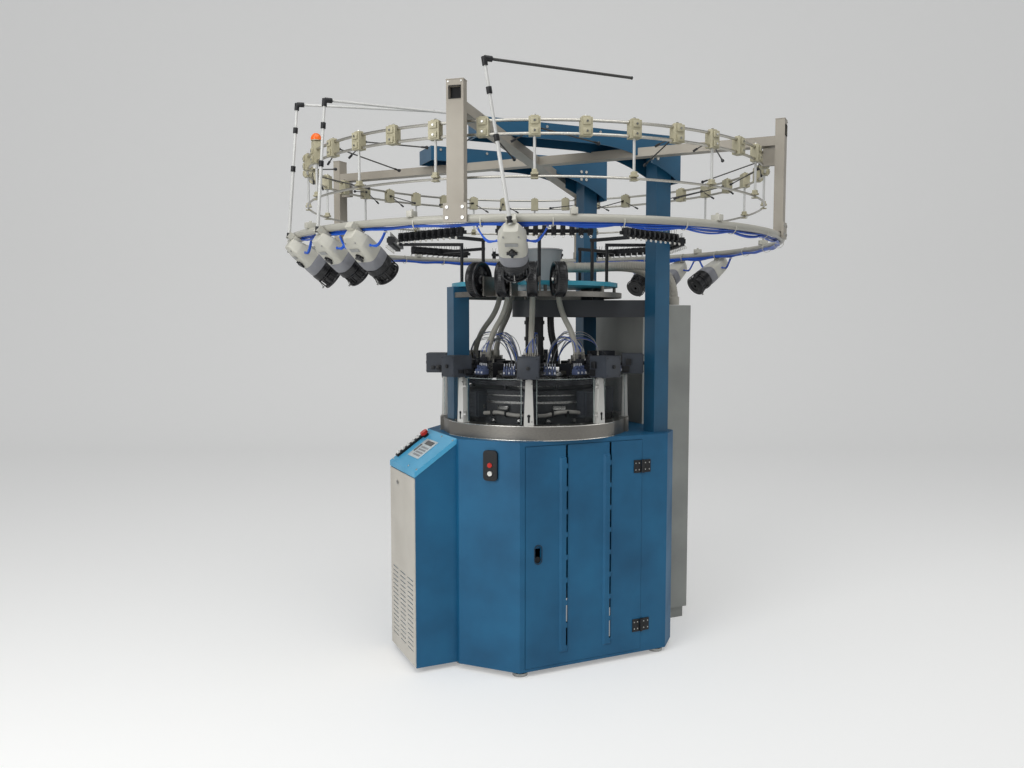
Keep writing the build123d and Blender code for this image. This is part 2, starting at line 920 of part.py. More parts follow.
def make_creel_frame():
    """Four posts joined by two beams that cross over the axis."""
    reach = ring_r - creel_post_depth / 2
    frame = None
    for angle in (creel_angles[0], creel_angles[1]):
        beam = at(angle, block(-reach, reach, -beam_width / 2, beam_width / 2, beam_foot, beam_head))
        frame = beam if frame is None else frame + beam
    for angle in creel_angles:
        frame += at(angle, make_creel_post())
    return frame


def make_top_arm(side):
    """Folded-sheet cantilever arm, open below, with its underside arched towards the column."""
    def outline(inset):
        tip = arm_tip + inset
        root = arm_root - inset
        top = arm_top - inset
        drop = 0 if inset == 0 else -60
        under = ThreePointArc((arm_bend_x, arm_tip_foot + drop), (arm_mid_x, arm_mid_z + drop),
                              (root, arm_root_z + drop))
        edges = [Line((tip, top), (root, top)), Line((root, top), under @ 1), under,
                 Line(under @ 0, (tip, arm_tip_foot + drop)), Line((tip, arm_tip_foot + drop), (tip, top))]
        return Plane.XZ * make_face(edges)

    y = side * arm_y
    outer = Pos(0, y + arm_width / 2, 0) * extrude(outline(0), arm_width)
    inner_width = arm_width - 2 * arm_sheet
    inner = Pos(0, y + inner_width / 2, 0) * extrude(outline(arm_sheet), inner_width)
    arm = outer - inner
    reach = ring_r
    for angle in (creel_angles[0], creel_angles[1]):
        arm -= at(angle, block(-reach, reach, -beam_width / 2 - 1, beam_width / 2 + 1,
                               beam_foot - 200, beam_head))
    return arm


def bundle_place():
    """Radius and height of the bundle of leads, strapped inside and below the round tube."""
    apart = (ring_tube_r + bundle_r) / math.sqrt(2)
    return ring_r - apart, ring_z - apart


def make_feeder_ring():
    bundle_at, bundle_z = bundle_place()
    ring = Pos(0, 0, ring_z) * Torus(ring_r, ring_tube_r)
    return [ring, Pos(0, 0, bundle_z) * Torus(bundle_at, bundle_r)]


def make_yarn_rails():
    """Thin round rails with the rods that hang the lowest one."""
    foot = mid_rail_z + mid_rail_tube_r + seat
    hanger = rod(hanger_r, rail_r, 0, foot, rail_heights[0] - rail_tube_r - seat)
    hangers = [at(clamp_first + clamp_pitch * n, hanger) for n in range(0, 360 // clamp_pitch, 2)]
    rails = [Pos(0, 0, z) * Torus(rail_r, rail_tube_r) for z in rail_heights]
    return [Pos(0, 0, mid_rail_z) * Torus(rail_r, mid_rail_tube_r), *rails, *hangers]


def make_rail_clamps():
    low, high = rail_heights
    foot = low - clamp_reach
    head = high + clamp_reach
    dx = clamp_depth / 2
    clamp = block(rail_r - dx, rail_r + dx, -clamp_width / 2, clamp_width / 2, foot, head)
    for z in rail_heights:
        clamp -= Pos(0, 0, z) * Torus(rail_r, rail_tube_r + seat)
    clamp -= rod(hanger_r + seat, rail_r, 0, foot - 1, low)
    clamps = [at(clamp_first + clamp_pitch * n, clamp) for n in range(360 // clamp_pitch)]
    neck_foot = head + beacon_base_height
    lamp_foot = neck_foot + beacon_neck
    beacon = block(rail_r - beacon_base / 2, rail_r + beacon_base / 2, -beacon_base / 2, beacon_base / 2,
                   head, neck_foot)
    beacon += rod(beacon_neck_r, rail_r, 0, neck_foot, lamp_foot)
    beacon += rod(beacon_r, rail_r, 0, lamp_foot, lamp_foot + beacon_wall)
    beacon += Pos(rail_r, 0, lamp_foot + beacon_wall) * Sphere(beacon_r, arc_size1=0)
    clamps[0] += at(clamp_first, beacon)
    return clamps


def feeder_plane(angle):
    """Frame of a storage feeder: x along the ring, y outwards, z down along the feeder's axis."""
    a = math.radians(angle)
    t = math.radians(feeder_tilt)
    outwards = Vector(math.cos(a), math.sin(a), 0)
    down = outwards * -math.sin(t) + Vector(0, 0, -math.cos(t))
    origin = outwards * ring_r + Vector(0, 0, ring_z)
    return Plane(origin=origin, x_dir=Vector(-math.sin(a), math.cos(a), 0), z_dir=down)


def feeder_size_at(z):
    """Width and depth of a feeder's housing between its shoulder and nose, in the feeder's own frame."""
    grown = (z - feeder_shoulder) / (feeder_nose - feeder_shoulder)
    width = feeder_shoulder_width + (feeder_nose_width - feeder_shoulder_width) * grown
    return width, feeder_shoulder_depth + (feeder_nose_depth - feeder_shoulder_depth) * grown


def make_feeder_housing():
    """Housing, cap, knob and drum pin of a storage feeder, in the feeder's own frame."""
    outlines = ((feeder_back, feeder_top_width, feeder_top_depth, feeder_top_round),
                (feeder_shoulder, feeder_shoulder_width, feeder_shoulder_depth, feeder_shoulder_round),
                (feeder_nose, feeder_nose_width, feeder_nose_depth, feeder_nose_round))
    top, shoulder, nose = [Plane((0, feeder_offset, z)) * RectangleRounded(width, depth, corner)
                           for z, width, depth, corner in outlines]
    housing = loft([top, shoulder]) + loft([shoulder, nose])
    half = feeder_clamp
    housing += block(-half, half, ring_tube_r, feeder_offset, feeder_back, feeder_back + 2 * half)
    cap_end = feeder_nose + feeder_cap
    step = feeder_cap_step
    cap = revolve(Plane.XZ * make_face(Polyline(
        (0, feeder_nose), (feeder_cap_r - step, feeder_nose), (feeder_cap_r, feeder_nose + step),
        (feeder_cap_r, cap_end - step), (feeder_cap_r - step, cap_end), (0, cap_end), close=True)), Axis.Z)
    housing += Pos(0, feeder_offset, 0) * cap
    face = feeder_offset + feeder_size_at(feeder_knob_z)[1] / 2
    depth = 2 * feeder_knob_height
    housing += Pos(0, face, feeder_knob_z) * Rot(90, 0, 0) * Cylinder(feeder_knob_r, depth)
    housing += rod(drum_pin_r, 0, feeder_offset, cap_end, cap_end + drum_length + drum_pin_end)
    return housing


def make_drum():
    """Yarn drum of a storage feeder: a waisted spool bored for its pin."""
    foot = feeder_nose + feeder_cap + seat
    end = foot + drum_length
    bore = drum_pin_r + running
    profile = Polyline(
        (bore, foot), (drum_r, foot), (drum_r, foot + drum_flange), (drum_waist_r, foot + 2 * drum_flange),
        (drum_waist_r, end - 2 * drum_flange), (drum_r, end - drum_flange), (drum_r, end), (bore, end),
        close=True)
    return Pos(0, feeder_offset, 0) * revolve(Plane.XZ * make_face(profile), Axis.Z)


def make_pole(angle, length, lean, arm_turn, arm_length):
    """Telescopic guide pole on a feeder's back, and the level arm whose elbow sits on its end."""
    plane = feeder_plane(angle)
    origin = plane.from_local_coords((0, feeder_offset, feeder_back))
    direction = Vector(math.sin(math.radians(lean)), 0, math.cos(math.radians(lean)))
    axis = Plane(origin=origin, x_dir=plane.x_dir, z_dir=direction).location
    rise = -direction.dot(plane.z_dir)
    slant = math.sqrt(1 - rise ** 2)
    pole = rod(pole_r, 0, 0, (seat + pole_r * slant) / rise, length)
    socket = (seat + pole_joint_r * slant) / rise + pole_clear
    for joint in (socket, pole_joint_share * length):
        pole += rod(pole_joint_r, 0, 0, joint, joint + pole_joint)
    elbow = axis * rod(pole_joint_r, 0, 0, length - pole_socket, length + pole_joint_r)
    top = origin + direction * (length + pole_arm_r)
    arm = Pos(pole_elbow / 2, 0, 0) * Rot(0, 90, 0) * Cylinder(pole_joint_r, pole_elbow)
    arm += Pos(arm_length / 2, 0, 0) * Rot(0, 90, 0) * Cylinder(pole_arm_r, arm_length)
    arm = elbow + Pos(*top) * Rot(0, 0, arm_turn) * arm
    return [axis * pole, arm - axis * rod(pole_r + seat, 0, 0, 0, length + seat)]


def make_poles():
    poles = []
    shapes = zip(pole_feeders, pole_lengths, pole_leans, pole_arm_turns, pole_arm_lengths)
    for n, length, lean, arm_turn, arm_length in shapes:
        poles += make_pole(feeder_angles[n], length, lean, arm_turn, arm_length)
    return poles


def make_door():
    """Pressed sheet door: a flanged pan with two hollow ribs, each with its line of slots."""
    z0, z1 = door_foot, door_head
    face = -cabinet_front - door_proud
    back = face + door_depth
    pan = block(door_left, door_right, face, back, z0, z1)
    pan -= block(door_left + sheet, door_right - sheet, face + sheet, back + 1, z0 + sheet, z1 - sheet)

    def rib(x, grow):
        """A pressed rib as a tapered block, or the hollow inside it."""
        half = rib_width / 2 - grow
        height = (rib_head - rib_foot) / 2 - grow
        middle = (rib_head + rib_foot) / 2
        base = Plane((x + rib_width / 2, face + sheet * (grow > 0), middle), x_dir=(1, 0, 0),
                     z_dir=(0, -1, 0))
        low = base * Rectangle(2 * half, 2 * height)
        high = base.offset(rib_rise) * Rectangle(2 * (half - rib_slope), 2 * (height - rib_slope))
        return loft([low, high])

    for x in (rib_left_x, rib_right_x):
        pan += rib(x, 0)
        pan -= rib(x, sheet)
        slot_x = x + rib_width - rib_slope
        for n in range(slot_count):
            z = slot_first + slot_pitch * n
            pan -= block(slot_x - slot_width / 2, slot_x + slot_width / 2, face - rib_rise - 1,
                         face + sheet + 1, z, z + slot_length)
    cup_front = Plane((grip_x, face - 1, grip_z), x_dir=(1, 0, 0), z_dir=(0, 1, 0))
    hole = cup_front * SlotOverall(grip_height, grip_width, rotation=90)
    pan -= extrude(hole, sheet + 1)
    lip = SlotOverall(grip_height, grip_width, rotation=90)
    inside = SlotOverall(grip_height - 6, grip_width - 6, rotation=90)
    cup = extrude(Plane((grip_x, face, grip_z), x_dir=(1, 0, 0), z_dir=(0, 1, 0)) * lip, grip_depth)
    cup -= extrude(Plane((grip_x, face, grip_z), x_dir=(1, 0, 0), z_dir=(0, 1, 0)) * inside,
                   grip_depth - sheet)
    pan += cup
    return pan + door_hinge_halves(True)


def door_hinge_halves(moving):
    """The hinge leaves and knuckles on the door, or those with the pins on the cabinet."""
    x = door_right + 1
    y = -cabinet_front - door_proud - hinge_r
    half = hinge_height / 2
    pieces = None
    for z in hinge_heights:
        if moving:
            leaf = block(x - hinge_leaf, x - hinge_r - 1, y + 4, -cabinet_front - door_proud, z,
                         z + hinge_height)
            tab = block(x - hinge_r - 1, x - 3, y + 4, y + hinge_r, z + half + seat, z + hinge_height)
            knuckle = rod(hinge_r, x, y, z + half + seat, z + hinge_height)
            piece = leaf + tab + knuckle - rod(hinge_pin_r + running, x, y, z + half, z + hinge_height + 1)
        else:
            leaf = block(x + hinge_r + 1, x + hinge_leaf, y + 4, -cabinet_front, z, z + hinge_height)
            tab = block(x + 3, x + hinge_r + 1, y + 4, y + hinge_r, z, z + half)
            knuckle = rod(hinge_r, x, y, z, z + half)
            piece = leaf + tab + knuckle + rod(hinge_pin_r, x, y, z + half, z + hinge_height + 3)
        pieces = piece if pieces is None else pieces + piece
    return pieces


def console_profile(points, half):
    """An outline in x and z, extruded across the console."""
    face = Plane.XZ * make_face(Polyline(*points, close=True))
    return Pos(0, half, 0) * extrude(face, 2 * half)


console_face = cabinet_west + console_depth
cover_front = console_face + panel_thickness
cover_slope = math.atan2(deck_top - console_front_top, cover_front - cabinet_west)


def cover_underside(x):
    """Height of the console cover's underside above a distance from the axis."""
    return deck_top - console_cover - (x - cabinet_west) * math.tan(cover_slope)


def make_console_housing():
    outer = ((-console_face, shell_foot), (-console_face, cover_underside(console_face)),
             (-cabinet_west, cover_underside(cabinet_west)), (-cabinet_west, shell_foot))
    near = cabinet_west + sheet
    far = console_face - sheet
    inner = ((-far, 0), (-far, cover_underside(far) - sheet), (-near, cover_underside(near) - sheet),
             (-near, 0))
    return console_profile(outer, console_half) - console_profile(inner, console_half - sheet)


def make_console_cover():
    points = ((-cover_front, cover_underside(cover_front)), (-cover_front, console_front_top),
              (-cabinet_west, deck_top), (-cabinet_west, deck_top - console_cover))
    return console_profile(points, console_half + 2)


def make_console_front_panel():
    """Beige front panel with rows of ventilation slots and a lock."""
    margin = 4
    half = console_half - margin
    head = cover_underside(console_face) - 2 * margin
    panel = block(-cover_front, -console_face, -half, half, shell_foot + margin, head)
    gap = (2 * half - louvre_columns * louvre_width) / (louvre_columns + 1)
    for column in range(louvre_columns):
        y = -half + gap + column * (louvre_width + gap)
        for row in range(louvre_rows):
            z = louvre_foot + row * louvre_pitch
            panel -= block(-cover_front - 1, -console_face + 1, y, y + louvre_width, z, z + louvre_height)
    lock = Pos(-cover_front, 60, head - 50) * Rot(0, 90, 0) * Cylinder(lock_r, 6)
    return panel + lock


cover_plane = Plane(origin=(-cover_front, 0, console_front_top),
                    x_dir=(math.cos(cover_slope), 0, math.sin(cover_slope)),
                    z_dir=(-math.sin(cover_slope), 0, math.cos(cover_slope)))
wall_run = Vector(cabinet_west - front_corner_west, west_flat_half - cabinet_front, 0)
switch_centre = Vector(-cabinet_west, -west_flat_half, switch_plate_z) + wall_run * switch_plate_share
switch_plane = Plane(origin=switch_centre, x_dir=wall_run,
                     z_dir=Vector(wall_run.Y, -wall_run.X, 0))


def key_place(n):
    return key_bar_start + key_pitch * (n + 0.5)


def make_button_plates():
    """Black key bar, display frame and stop collar on the cover, and the switch plate on the corner."""
    length = key_count * key_pitch
    bar = block(key_bar_start, key_bar_start + length, key_bar_y - key_bar_width / 2,
                key_bar_y + key_bar_width / 2, 0, key_bar_height)
    half = key_side / 2 + button_clear
    for n in range(key_count):
        x = key_place(n)
        bar -= block(x - half, x + half, key_bar_y - half, key_bar_y + half, 1, key_bar_height + 1)
    display = block(70, 70 + display_length, -display_width / 2, display_width / 2, 0, display_height)
    collar = rod(stop_collar_r, stop_along, stop_y, 0, stop_collar_height)
    collar -= rod(stop_stem_r + button_clear, stop_along, stop_y, 1, stop_collar_height + 1)
    width = switch_plate_width / 2
    plate = extrude(RectangleRounded(switch_plate_width, switch_plate_height, width * 0.5),
                    switch_plate_thickness)
    for y in (red_button_rise, -white_button_drop):
        plate -= rod(button_r + button_clear, 0, y, 1, switch_plate_thickness + 1)
    on_cover = [cover_plane.location * piece for piece in (bar, display, collar)]
    return on_cover + [switch_plane.location * plate]


def make_key(n):
    foot = key_bar_height - 8
    half = key_side / 2
    x = key_place(n)
    key = block(x - half, x + half, key_bar_y - half, key_bar_y + half, foot, key_bar_height + 4)
    return cover_plane.location * key


def make_stop_head():
    gap = stop_collar_height + stop_gap
    head = rod(stop_stem_r, stop_along, stop_y, stop_gap + 2, gap)
    head += rod(stop_head_r, stop_along, stop_y, gap, gap + stop_head_height)
    return cover_plane.location * head


def make_button(rise):
    foot = switch_plate_thickness - button_depth
    button = rod(button_r, 0, rise, foot, switch_plate_thickness + button_proud)
    return switch_plane.location * button


def make_locker():
    """Electrical cabinet standing against the base cabinet, open below for its cables."""
    west = cabinet_east
    east = west + locker_depth
    plinth = 15
    case = block(west, east, locker_front, locker_back, locker_plinth, locker_top)
    case += block(west + plinth, east - plinth, locker_front + plinth, locker_back - plinth, 0,
                  locker_plinth)
    inner = plinth + sheet
    return case - block(west + inner, east - inner, locker_front + inner, locker_back - inner, -1,
                        locker_top - sheet)


save("levelling_feet", *make_levelling_feet())
save("base_frame", make_base_frame())
save("cabinet_shell", make_cabinet_shell())
save("deck_casting", make_deck())
save("drive_motor", make_motor())
save("motor_pulley", make_motor_pulley())
save("drive_belt", make_belt())
save("needle_cylinder", make_needle_cylinder())
save("dial", make_dial())
save("dial_column", make_dial_column())
save("fabric_tube", *make_fabric_tube())
save("cam_ring", make_cam_ring())
save("selector_boxes", *make_selector_boxes())
save("tray_ring", make_tray())
save("guard_posts", *make_guard_posts())
save("fixed_guards", *make_fixed_guards())
save("guard_door_left", make_guard_door(feed_angles[guard_door_bays[0]], 1))
save("guard_door_right", make_guard_door(feed_angles[guard_door_bays[1] + 1], -1))
save("feed_boxes", *make_feed_boxes())
save("feed_heads", *make_feed_heads())
save("columns", *make_columns())
save("support_bridge", make_bridge())
save("support_plate", make_support_plate())
save("rim_ring", make_rim_ring())
for number, wheel_angle in enumerate(wheel_angles, 1):
    save(f"elastane_wheel_{number}", make_wheel(wheel_angle))
save("suction_canister", make_canister())
save("suction_hoses", *make_suction_hoses(), *make_feeder_leads())
save("sensor_rails", *make_sensor_rails())
save("creel_frame", make_creel_frame())
save("top_arms", make_top_arm(-1), make_top_arm(1))
save("feeder_ring", *make_feeder_ring())
save("yarn_rails", *make_yarn_rails(), *make_poles())
save("rail_clamps", *make_rail_clamps())
save("feeder_housings", *[feeder_plane(a).location * make_feeder_housing() for a in feeder_angles])
for number, feeder_angle in enumerate(feeder_angles, 1):
    save(f"feeder_drum_{number}", feeder_plane(feeder_angle).location * make_drum())
save("front_door", make_door())
save("hinge_leaves", door_hinge_halves(False))
save("console_housing", make_console_housing())
save("console_cover", make_console_cover())
save("console_front_panel", make_console_front_panel())
save("button_plates", *make_button_plates())
for number in range(key_count):
    save(f"white_key_{number + 1}", make_key(number))
save("emergency_stop", make_stop_head())
save("red_button", make_button(red_button_rise))
save("white_button", make_button(-white_button_drop))
save("electrical_cabinet", make_locker())
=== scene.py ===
import math
import random

import bmesh
import bpy
from mathutils import Matrix, Vector


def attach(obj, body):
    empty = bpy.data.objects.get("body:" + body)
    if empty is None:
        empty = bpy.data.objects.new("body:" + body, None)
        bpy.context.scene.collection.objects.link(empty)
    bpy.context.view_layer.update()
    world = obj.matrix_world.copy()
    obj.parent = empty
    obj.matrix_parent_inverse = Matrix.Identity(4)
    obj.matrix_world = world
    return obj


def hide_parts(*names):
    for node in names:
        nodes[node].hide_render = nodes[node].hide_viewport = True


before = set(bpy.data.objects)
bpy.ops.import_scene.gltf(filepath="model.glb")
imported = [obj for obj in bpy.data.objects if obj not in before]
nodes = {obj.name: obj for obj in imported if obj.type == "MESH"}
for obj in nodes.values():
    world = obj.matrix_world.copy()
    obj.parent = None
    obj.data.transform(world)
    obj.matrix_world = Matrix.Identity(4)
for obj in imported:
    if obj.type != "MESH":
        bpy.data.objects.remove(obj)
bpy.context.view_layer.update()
scene = bpy.context.scene

# Base cabinet: a welded frame on levelling feet, closed by folded sheet walls and an iron deck.
# The sheet is powder coated in teal, satin with a faint orange peel, cloudier where hands rub it.


def linear(code):
    """An sRGB hex colour as linear red, green, blue and alpha."""
    parts = [int(code[i:i + 2], 16) / 255 for i in (1, 3, 5)]
    return [c / 12.92 if c <= 0.04045 else ((c + 0.055) / 1.055) ** 2.4 for c in parts] + [1.0]


def node(tree, kind, links=None, **settings):
    """Adds a node with its settings to a tree. links fills an input from (node, output), or with a value."""
    made = tree.nodes.new(kind if "Node" in kind else "ShaderNode" + kind)
    for key, value in settings.items():
        if hasattr(made, key):
            setattr(made, key, value)
        else:
            made.inputs[key.replace("_", " ")].default_value = value
    for socket, source in (links or {}).items():
        if isinstance(source, tuple):
            tree.links.new(source[0].outputs[source[1]], made.inputs[socket])
        else:
            made.inputs[socket].default_value = source
    return made


def bare_material(name):
    """A material whose node tree is empty."""
    material = bpy.data.materials.new(name)
    material.use_nodes = True
    material.node_tree.nodes.clear()
    return material


def surface(name, tones, per_metre, stretch=(1, 1, 1), gloss=None, relief=None, **settings):
    """A finish that drifts between two tones over a noise of real size, read from the piece's own place.

    gloss is the roughness in the dark and in the light tone. relief is a fine bump: its grains to
    the metre, its strength and its depth in metres.
    """
    material = bare_material(name)
    tree = material.node_tree
    place = node(tree, "TexCoord")
    fit = node(tree, "Mapping", {"Vector": (place, "Object")}, Scale=stretch)
    cloud = node(tree, "TexNoise", {"Vector": (fit, "Vector")}, Scale=per_metre, Detail=4.0)
    tone = node(tree, "ValToRGB", {"Fac": (cloud, "Fac")})
    for stop, spot, code in zip(tone.color_ramp.elements, (0.32, 0.68), tones):
        stop.position, stop.color = spot, linear(code)
    links = {"Base Color": (tone, "Color")}
    if gloss:
        wear = node(tree, "MapRange", {"Value": (cloud, "Fac")}, From_Min=0.3, From_Max=0.7,
                    To_Min=gloss[0], To_Max=gloss[1])
        links["Roughness"] = (wear, "Result")
    if relief:
        fine = node(tree, "TexNoise", {"Vector": (fit, "Vector")}, Scale=relief[0], Detail=1.0)
        bump = node(tree, "Bump", {"Height": (fine, "Fac")}, Strength=relief[1], Distance=relief[2])
        links["Normal"] = (bump, "Normal")
    shader = node(tree, "BsdfPrincipled", links, **settings)
    node(tree, "OutputMaterial", {"Surface": (shader, "BSDF")})
    return material


def coated_steel(name, dark, light, rough):
    """Baked coat on steel: satin, softly clouded by handling, with an orange peel of about 2 mm."""
    peel = (420, 0.25, 0.0006)
    return surface(name, (dark, light), 3.5, gloss=(rough + 0.08, rough - 0.05), relief=peel, IOR=1.5)


def finish(material, *names):
    """Gives a material to whole CAD nodes."""
    for name in names:
        for place in nodes[name].material_slots:
            place.material = material


cabinet_teal = coated_steel("teal_powder_coat", "#094f74", "#0f628b", 0.55)
finish(cabinet_teal, "cabinet_shell", "front_door", "console_housing", "deck_casting")
primed_black = coated_steel("black_primed_steel", "#26282b", "#34363a", 0.55)
finish(primed_black, "base_frame", "support_bridge", "cam_ring")

# Cabinet fittings: black moulded hinges with two screws a leaf, on the door and on the fixed strip
# beside it, and levelling feet turned from steel.


def moulded(name, dark, light, rough):
    """Moulded plastic: an even colour with the mould's own texture, drawn at about 2 mm to show."""
    grain = (600, 0.15, 0.0004)
    return surface(name, (dark, light), 9, relief=grain, IOR=1.46, Roughness=rough)


def worked_metal(name, dark, light, rough, stretch):
    """Bare metal with the lines of its last tool, drawn as coarse as they need to show."""
    lines_per_metre = 90
    return surface(name, (dark, light), lines_per_metre, stretch, (rough + 0.1, rough - 0.06),
                   (lines_per_metre, 0.1, 0.0004), Metallic=1.0)


def slab(mesh, low, high, place=Matrix()):
    """A block between two corners."""
    size = [abs(b - a) for a, b in zip(low, high)]
    middle = [(a + b) / 2 for a, b in zip(low, high)]
    bmesh.ops.create_cube(mesh, size=1.0, matrix=place @ at(*middle) @ Matrix.Diagonal((*size, 1)))


def lathe(mesh, profile, place=Matrix(), steps=48):
    """A closed outline of (radius, height) points turned about the local Z axis."""
    rings = []
    for n in range(steps):
        spin = place @ turned(360 * n / steps)
        rings.append([mesh.verts.new(spin @ Vector((r, 0, z))) for r, z in profile])
    count = len(profile)
    for n in range(steps):
        here, there = rings[n], rings[(n + 1) % steps]
        for k in range(count):
            after = (k + 1) % count
            if profile[k][0] > 0 and profile[after][0] > 0:
                mesh.faces.new((here[k], there[k], there[after], here[after]))
            elif profile[k][0] > 0:
                mesh.faces.new((here[k], there[k], here[after]))
            elif profile[after][0] > 0:
                mesh.faces.new((here[k], there[after], here[after]))


def bar(mesh, start, end, radius, steps, far_radius=None):
    """A round bar between two points, with flat ends, tapered where a far radius is given."""
    run = Vector(end) - Vector(start)
    far = radius if far_radius is None else far_radius
    lathe(mesh, [(0, 0), (radius, 0), (far, run.length), (0, run.length)], at(*start) @ facing(run), steps)


def at(x, y, z):
    """A shift to a spot, in metres."""
    return Matrix.Translation((x, y, z))


def turned(degrees):
    """A turn about the machine's upright axis."""
    return Matrix.Rotation(math.radians(degrees), 4, "Z")


def facing(direction):
    """A turn that brings the local Z axis to a direction."""
    return direction.to_track_quat("Z", "Y").to_matrix().to_4x4()


def upright(x, y, z0, z1, radius, steps):
    """A bar along Z, as built() takes it."""
    return (x, y, z0), (x, y, z1), radius, steps


def across(x0, x1, y, z, radius, steps):
    """A bar along X, as built() takes it."""
    return (x0, y, z), (x1, y, z), radius, steps


def settle(made):
    """Makes an object's live modifiers part of its mesh."""
    shape = made.evaluated_get(bpy.context.evaluated_depsgraph_get())
    data = bpy.data.meshes.new_from_object(shape)
    made.modifiers.clear()
    made.data = data


def linked(name, data):
    """A new object in the scene."""
    made = bpy.data.objects.new(name, data)
    scene.collection.objects.link(made)
    return made


def carried(made, body):
    """Lets a finished object ride on its body, where one is named."""
    if body:
        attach(made, body)
    return made


def smooth(data):
    """Shades every face of a mesh smooth."""
    for face in data.polygons:
        face.use_smooth = True


def piece(name, mesh, material, body="machine", bevel=0.0):
    """Turns a built mesh into a finished piece that rides on a body."""
    bmesh.ops.remove_doubles(mesh, verts=mesh.verts, dist=1e-6)
    bmesh.ops.recalc_face_normals(mesh, faces=mesh.faces)
    data = bpy.data.meshes.new(name)
    mesh.to_mesh(data)
    mesh.free()
    data.materials.append(material)
    made = linked(name, data)
    if bevel:
        edge = made.modifiers.new("edge", "BEVEL")
        edge.width = bevel
        edge.segments = 2
        edge.angle_limit = math.radians(40)
        settle(made)
    smooth(made.data)
    made.data.set_sharp_from_angle(angle=math.radians(38))
    return carried(made, body)


def built(name, material, blocks=(), bars=(), lathes=(), body="machine", bevel=0.0, ring=None):
    """A piece of blocks, bars and turned shapes, or its copies where ring says how copies() sets them."""
    mesh = bmesh.new()
    for corners in blocks:
        slab(mesh, *corners)
    for ends in bars:
        bar(mesh, *ends)
    for shape in lathes:
        lathe(mesh, *shape)
    if ring is None:
        return piece(name, mesh, material, body, bevel)
    return copies(piece(name, mesh, material, None, bevel), *ring)


black_abs = moulded("black_moulded_abs", "#0d0e10", "#17181b", 0.5)
finish(black_abs, "button_plates", "hinge_leaves", "dial_column", "sensor_rails")
ground_steel = worked_metal("ground_steel", "#8d8d8b", "#b0b0ad", 0.25, (1, 1, 6))
finish(ground_steel, "needle_cylinder", "dial", "motor_pulley", "levelling_feet")
hinge_feet = (0.13, 0.9)


def hinge_screws(places, leaf_face):
    """The screws of one leaf at both hinges, with heads that stand 3.6 mm out of its face."""
    return [((x, leaf_face, z + lift), (x, leaf_face - 0.0036, z + lift), 0.0035, 12)
            for z in hinge_feet for x in places for lift in (0.014, 0.046)]


built("cabinet_hinge_screws", ground_steel, bars=hinge_screws((0.372, 0.394), -0.4416))
built("door_hinge_leaves", black_abs,
      [((0.3085, -0.4455, z - 0.0005), (0.3478, -0.4425, z + 0.0605)) for z in hinge_feet],
      [upright(0.355, -0.449, z + 0.0303, z + 0.0603, 0.0073, 20) for z in hinge_feet], body="front_door")
built("door_hinge_screws", ground_steel, bars=hinge_screws((0.318, 0.336), -0.4436), body="front_door")

# Tray: a flat ring of brushed aluminium with lobes, laid on the deck to catch oil and lint. The brush has
# left lines along its rim, and thin bright bars along its top and foot edges are a painted highlight.


def new_tree(name, **inputs):
    """A Geometry Nodes tree with its named inputs, and the node that hands them in."""
    tree = bpy.data.node_groups.new(name, "GeometryNodeTree")
    for label, kind in inputs.items():
        tree.interface.new_socket(label.replace("_", " "), in_out="INPUT", socket_type="NodeSocket" + kind)
    tree.interface.new_socket("Geometry", in_out="OUTPUT", socket_type="NodeSocketGeometry")
    return tree, node(tree, "NodeGroupInput")


def ended(tree, given, shape):
    """Ends a tree in plain geometry of the material that it was given."""
    real = node(tree, "GeometryNodeRealizeInstances", {"Geometry": shape})
    paint = node(tree, "GeometryNodeSetMaterial",
                 {"Geometry": (real, "Geometry"), "Material": (given, "Material")})
    node(tree, "NodeGroupOutput", {"Geometry": (paint, "Geometry")})
    return tree


def copies_tree():
    """Copies a source piece round the machine's axis, or along a line, at equal steps."""
    tree, given = new_tree("equal_copies", Source="Object", Count="Int", First_Turn="Float",
                           Turn_Step="Float", Shift="Vector", Material="Material")
    source = node(tree, "GeometryNodeObjectInfo", {"Object": (given, "Source")})
    line = node(tree, "GeometryNodeMeshLine", {"Count": (given, "Count"), "Offset": (given, "Shift")})
    number = node(tree, "GeometryNodeInputIndex")
    turn = node(tree, "Math", {0: (number, 0), 1: (given, "Turn Step"), 2: (given, "First Turn")},
                operation="MULTIPLY_ADD")
    spin = node(tree, "CombineXYZ", {"Z": (turn, 0)})
    spread = node(tree, "GeometryNodeInstanceOnPoints",
                  {"Points": (line, "Mesh"), "Instance": (source, "Geometry"), "Rotation": (spin, "Vector")})
    return ended(tree, given, (spread, "Instances"))


equal_copies = copies_tree()


def set_inputs(modifier, **values):
    """Fills a Geometry Nodes modifier's inputs by their names, with a _ for a space."""
    for item in modifier.node_group.interface.items_tree:
        if item.name.replace(" ", "_") in values:
            modifier[item.identifier] = values[item.name.replace(" ", "_")]


def copies(source, count, first, turn=None, shift=(0, 0, 0)):
    """Turns a source piece into its row or ring of copies, as one plain mesh on the machine."""
    turn = 360 / count if turn is None else turn
    name = source.name
    source.name = name + "_source"
    made = linked(name, bpy.data.meshes.new(name))
    repeat = made.modifiers.new("copies", "NODES")
    repeat.node_group = equal_copies
    set_inputs(repeat, Source=source, Count=count, First_Turn=math.radians(first),
               Turn_Step=math.radians(turn), Shift=Vector(shift), Material=source.data.materials[0])
    settle(made)
    bpy.data.objects.remove(source)
    return carried(made, "machine")


def round_spot(radius, degrees, z):
    """A spot at a radius and a turn round the machine's axis."""
    a = math.radians(degrees)
    return (radius * math.cos(a), radius * math.sin(a), z)


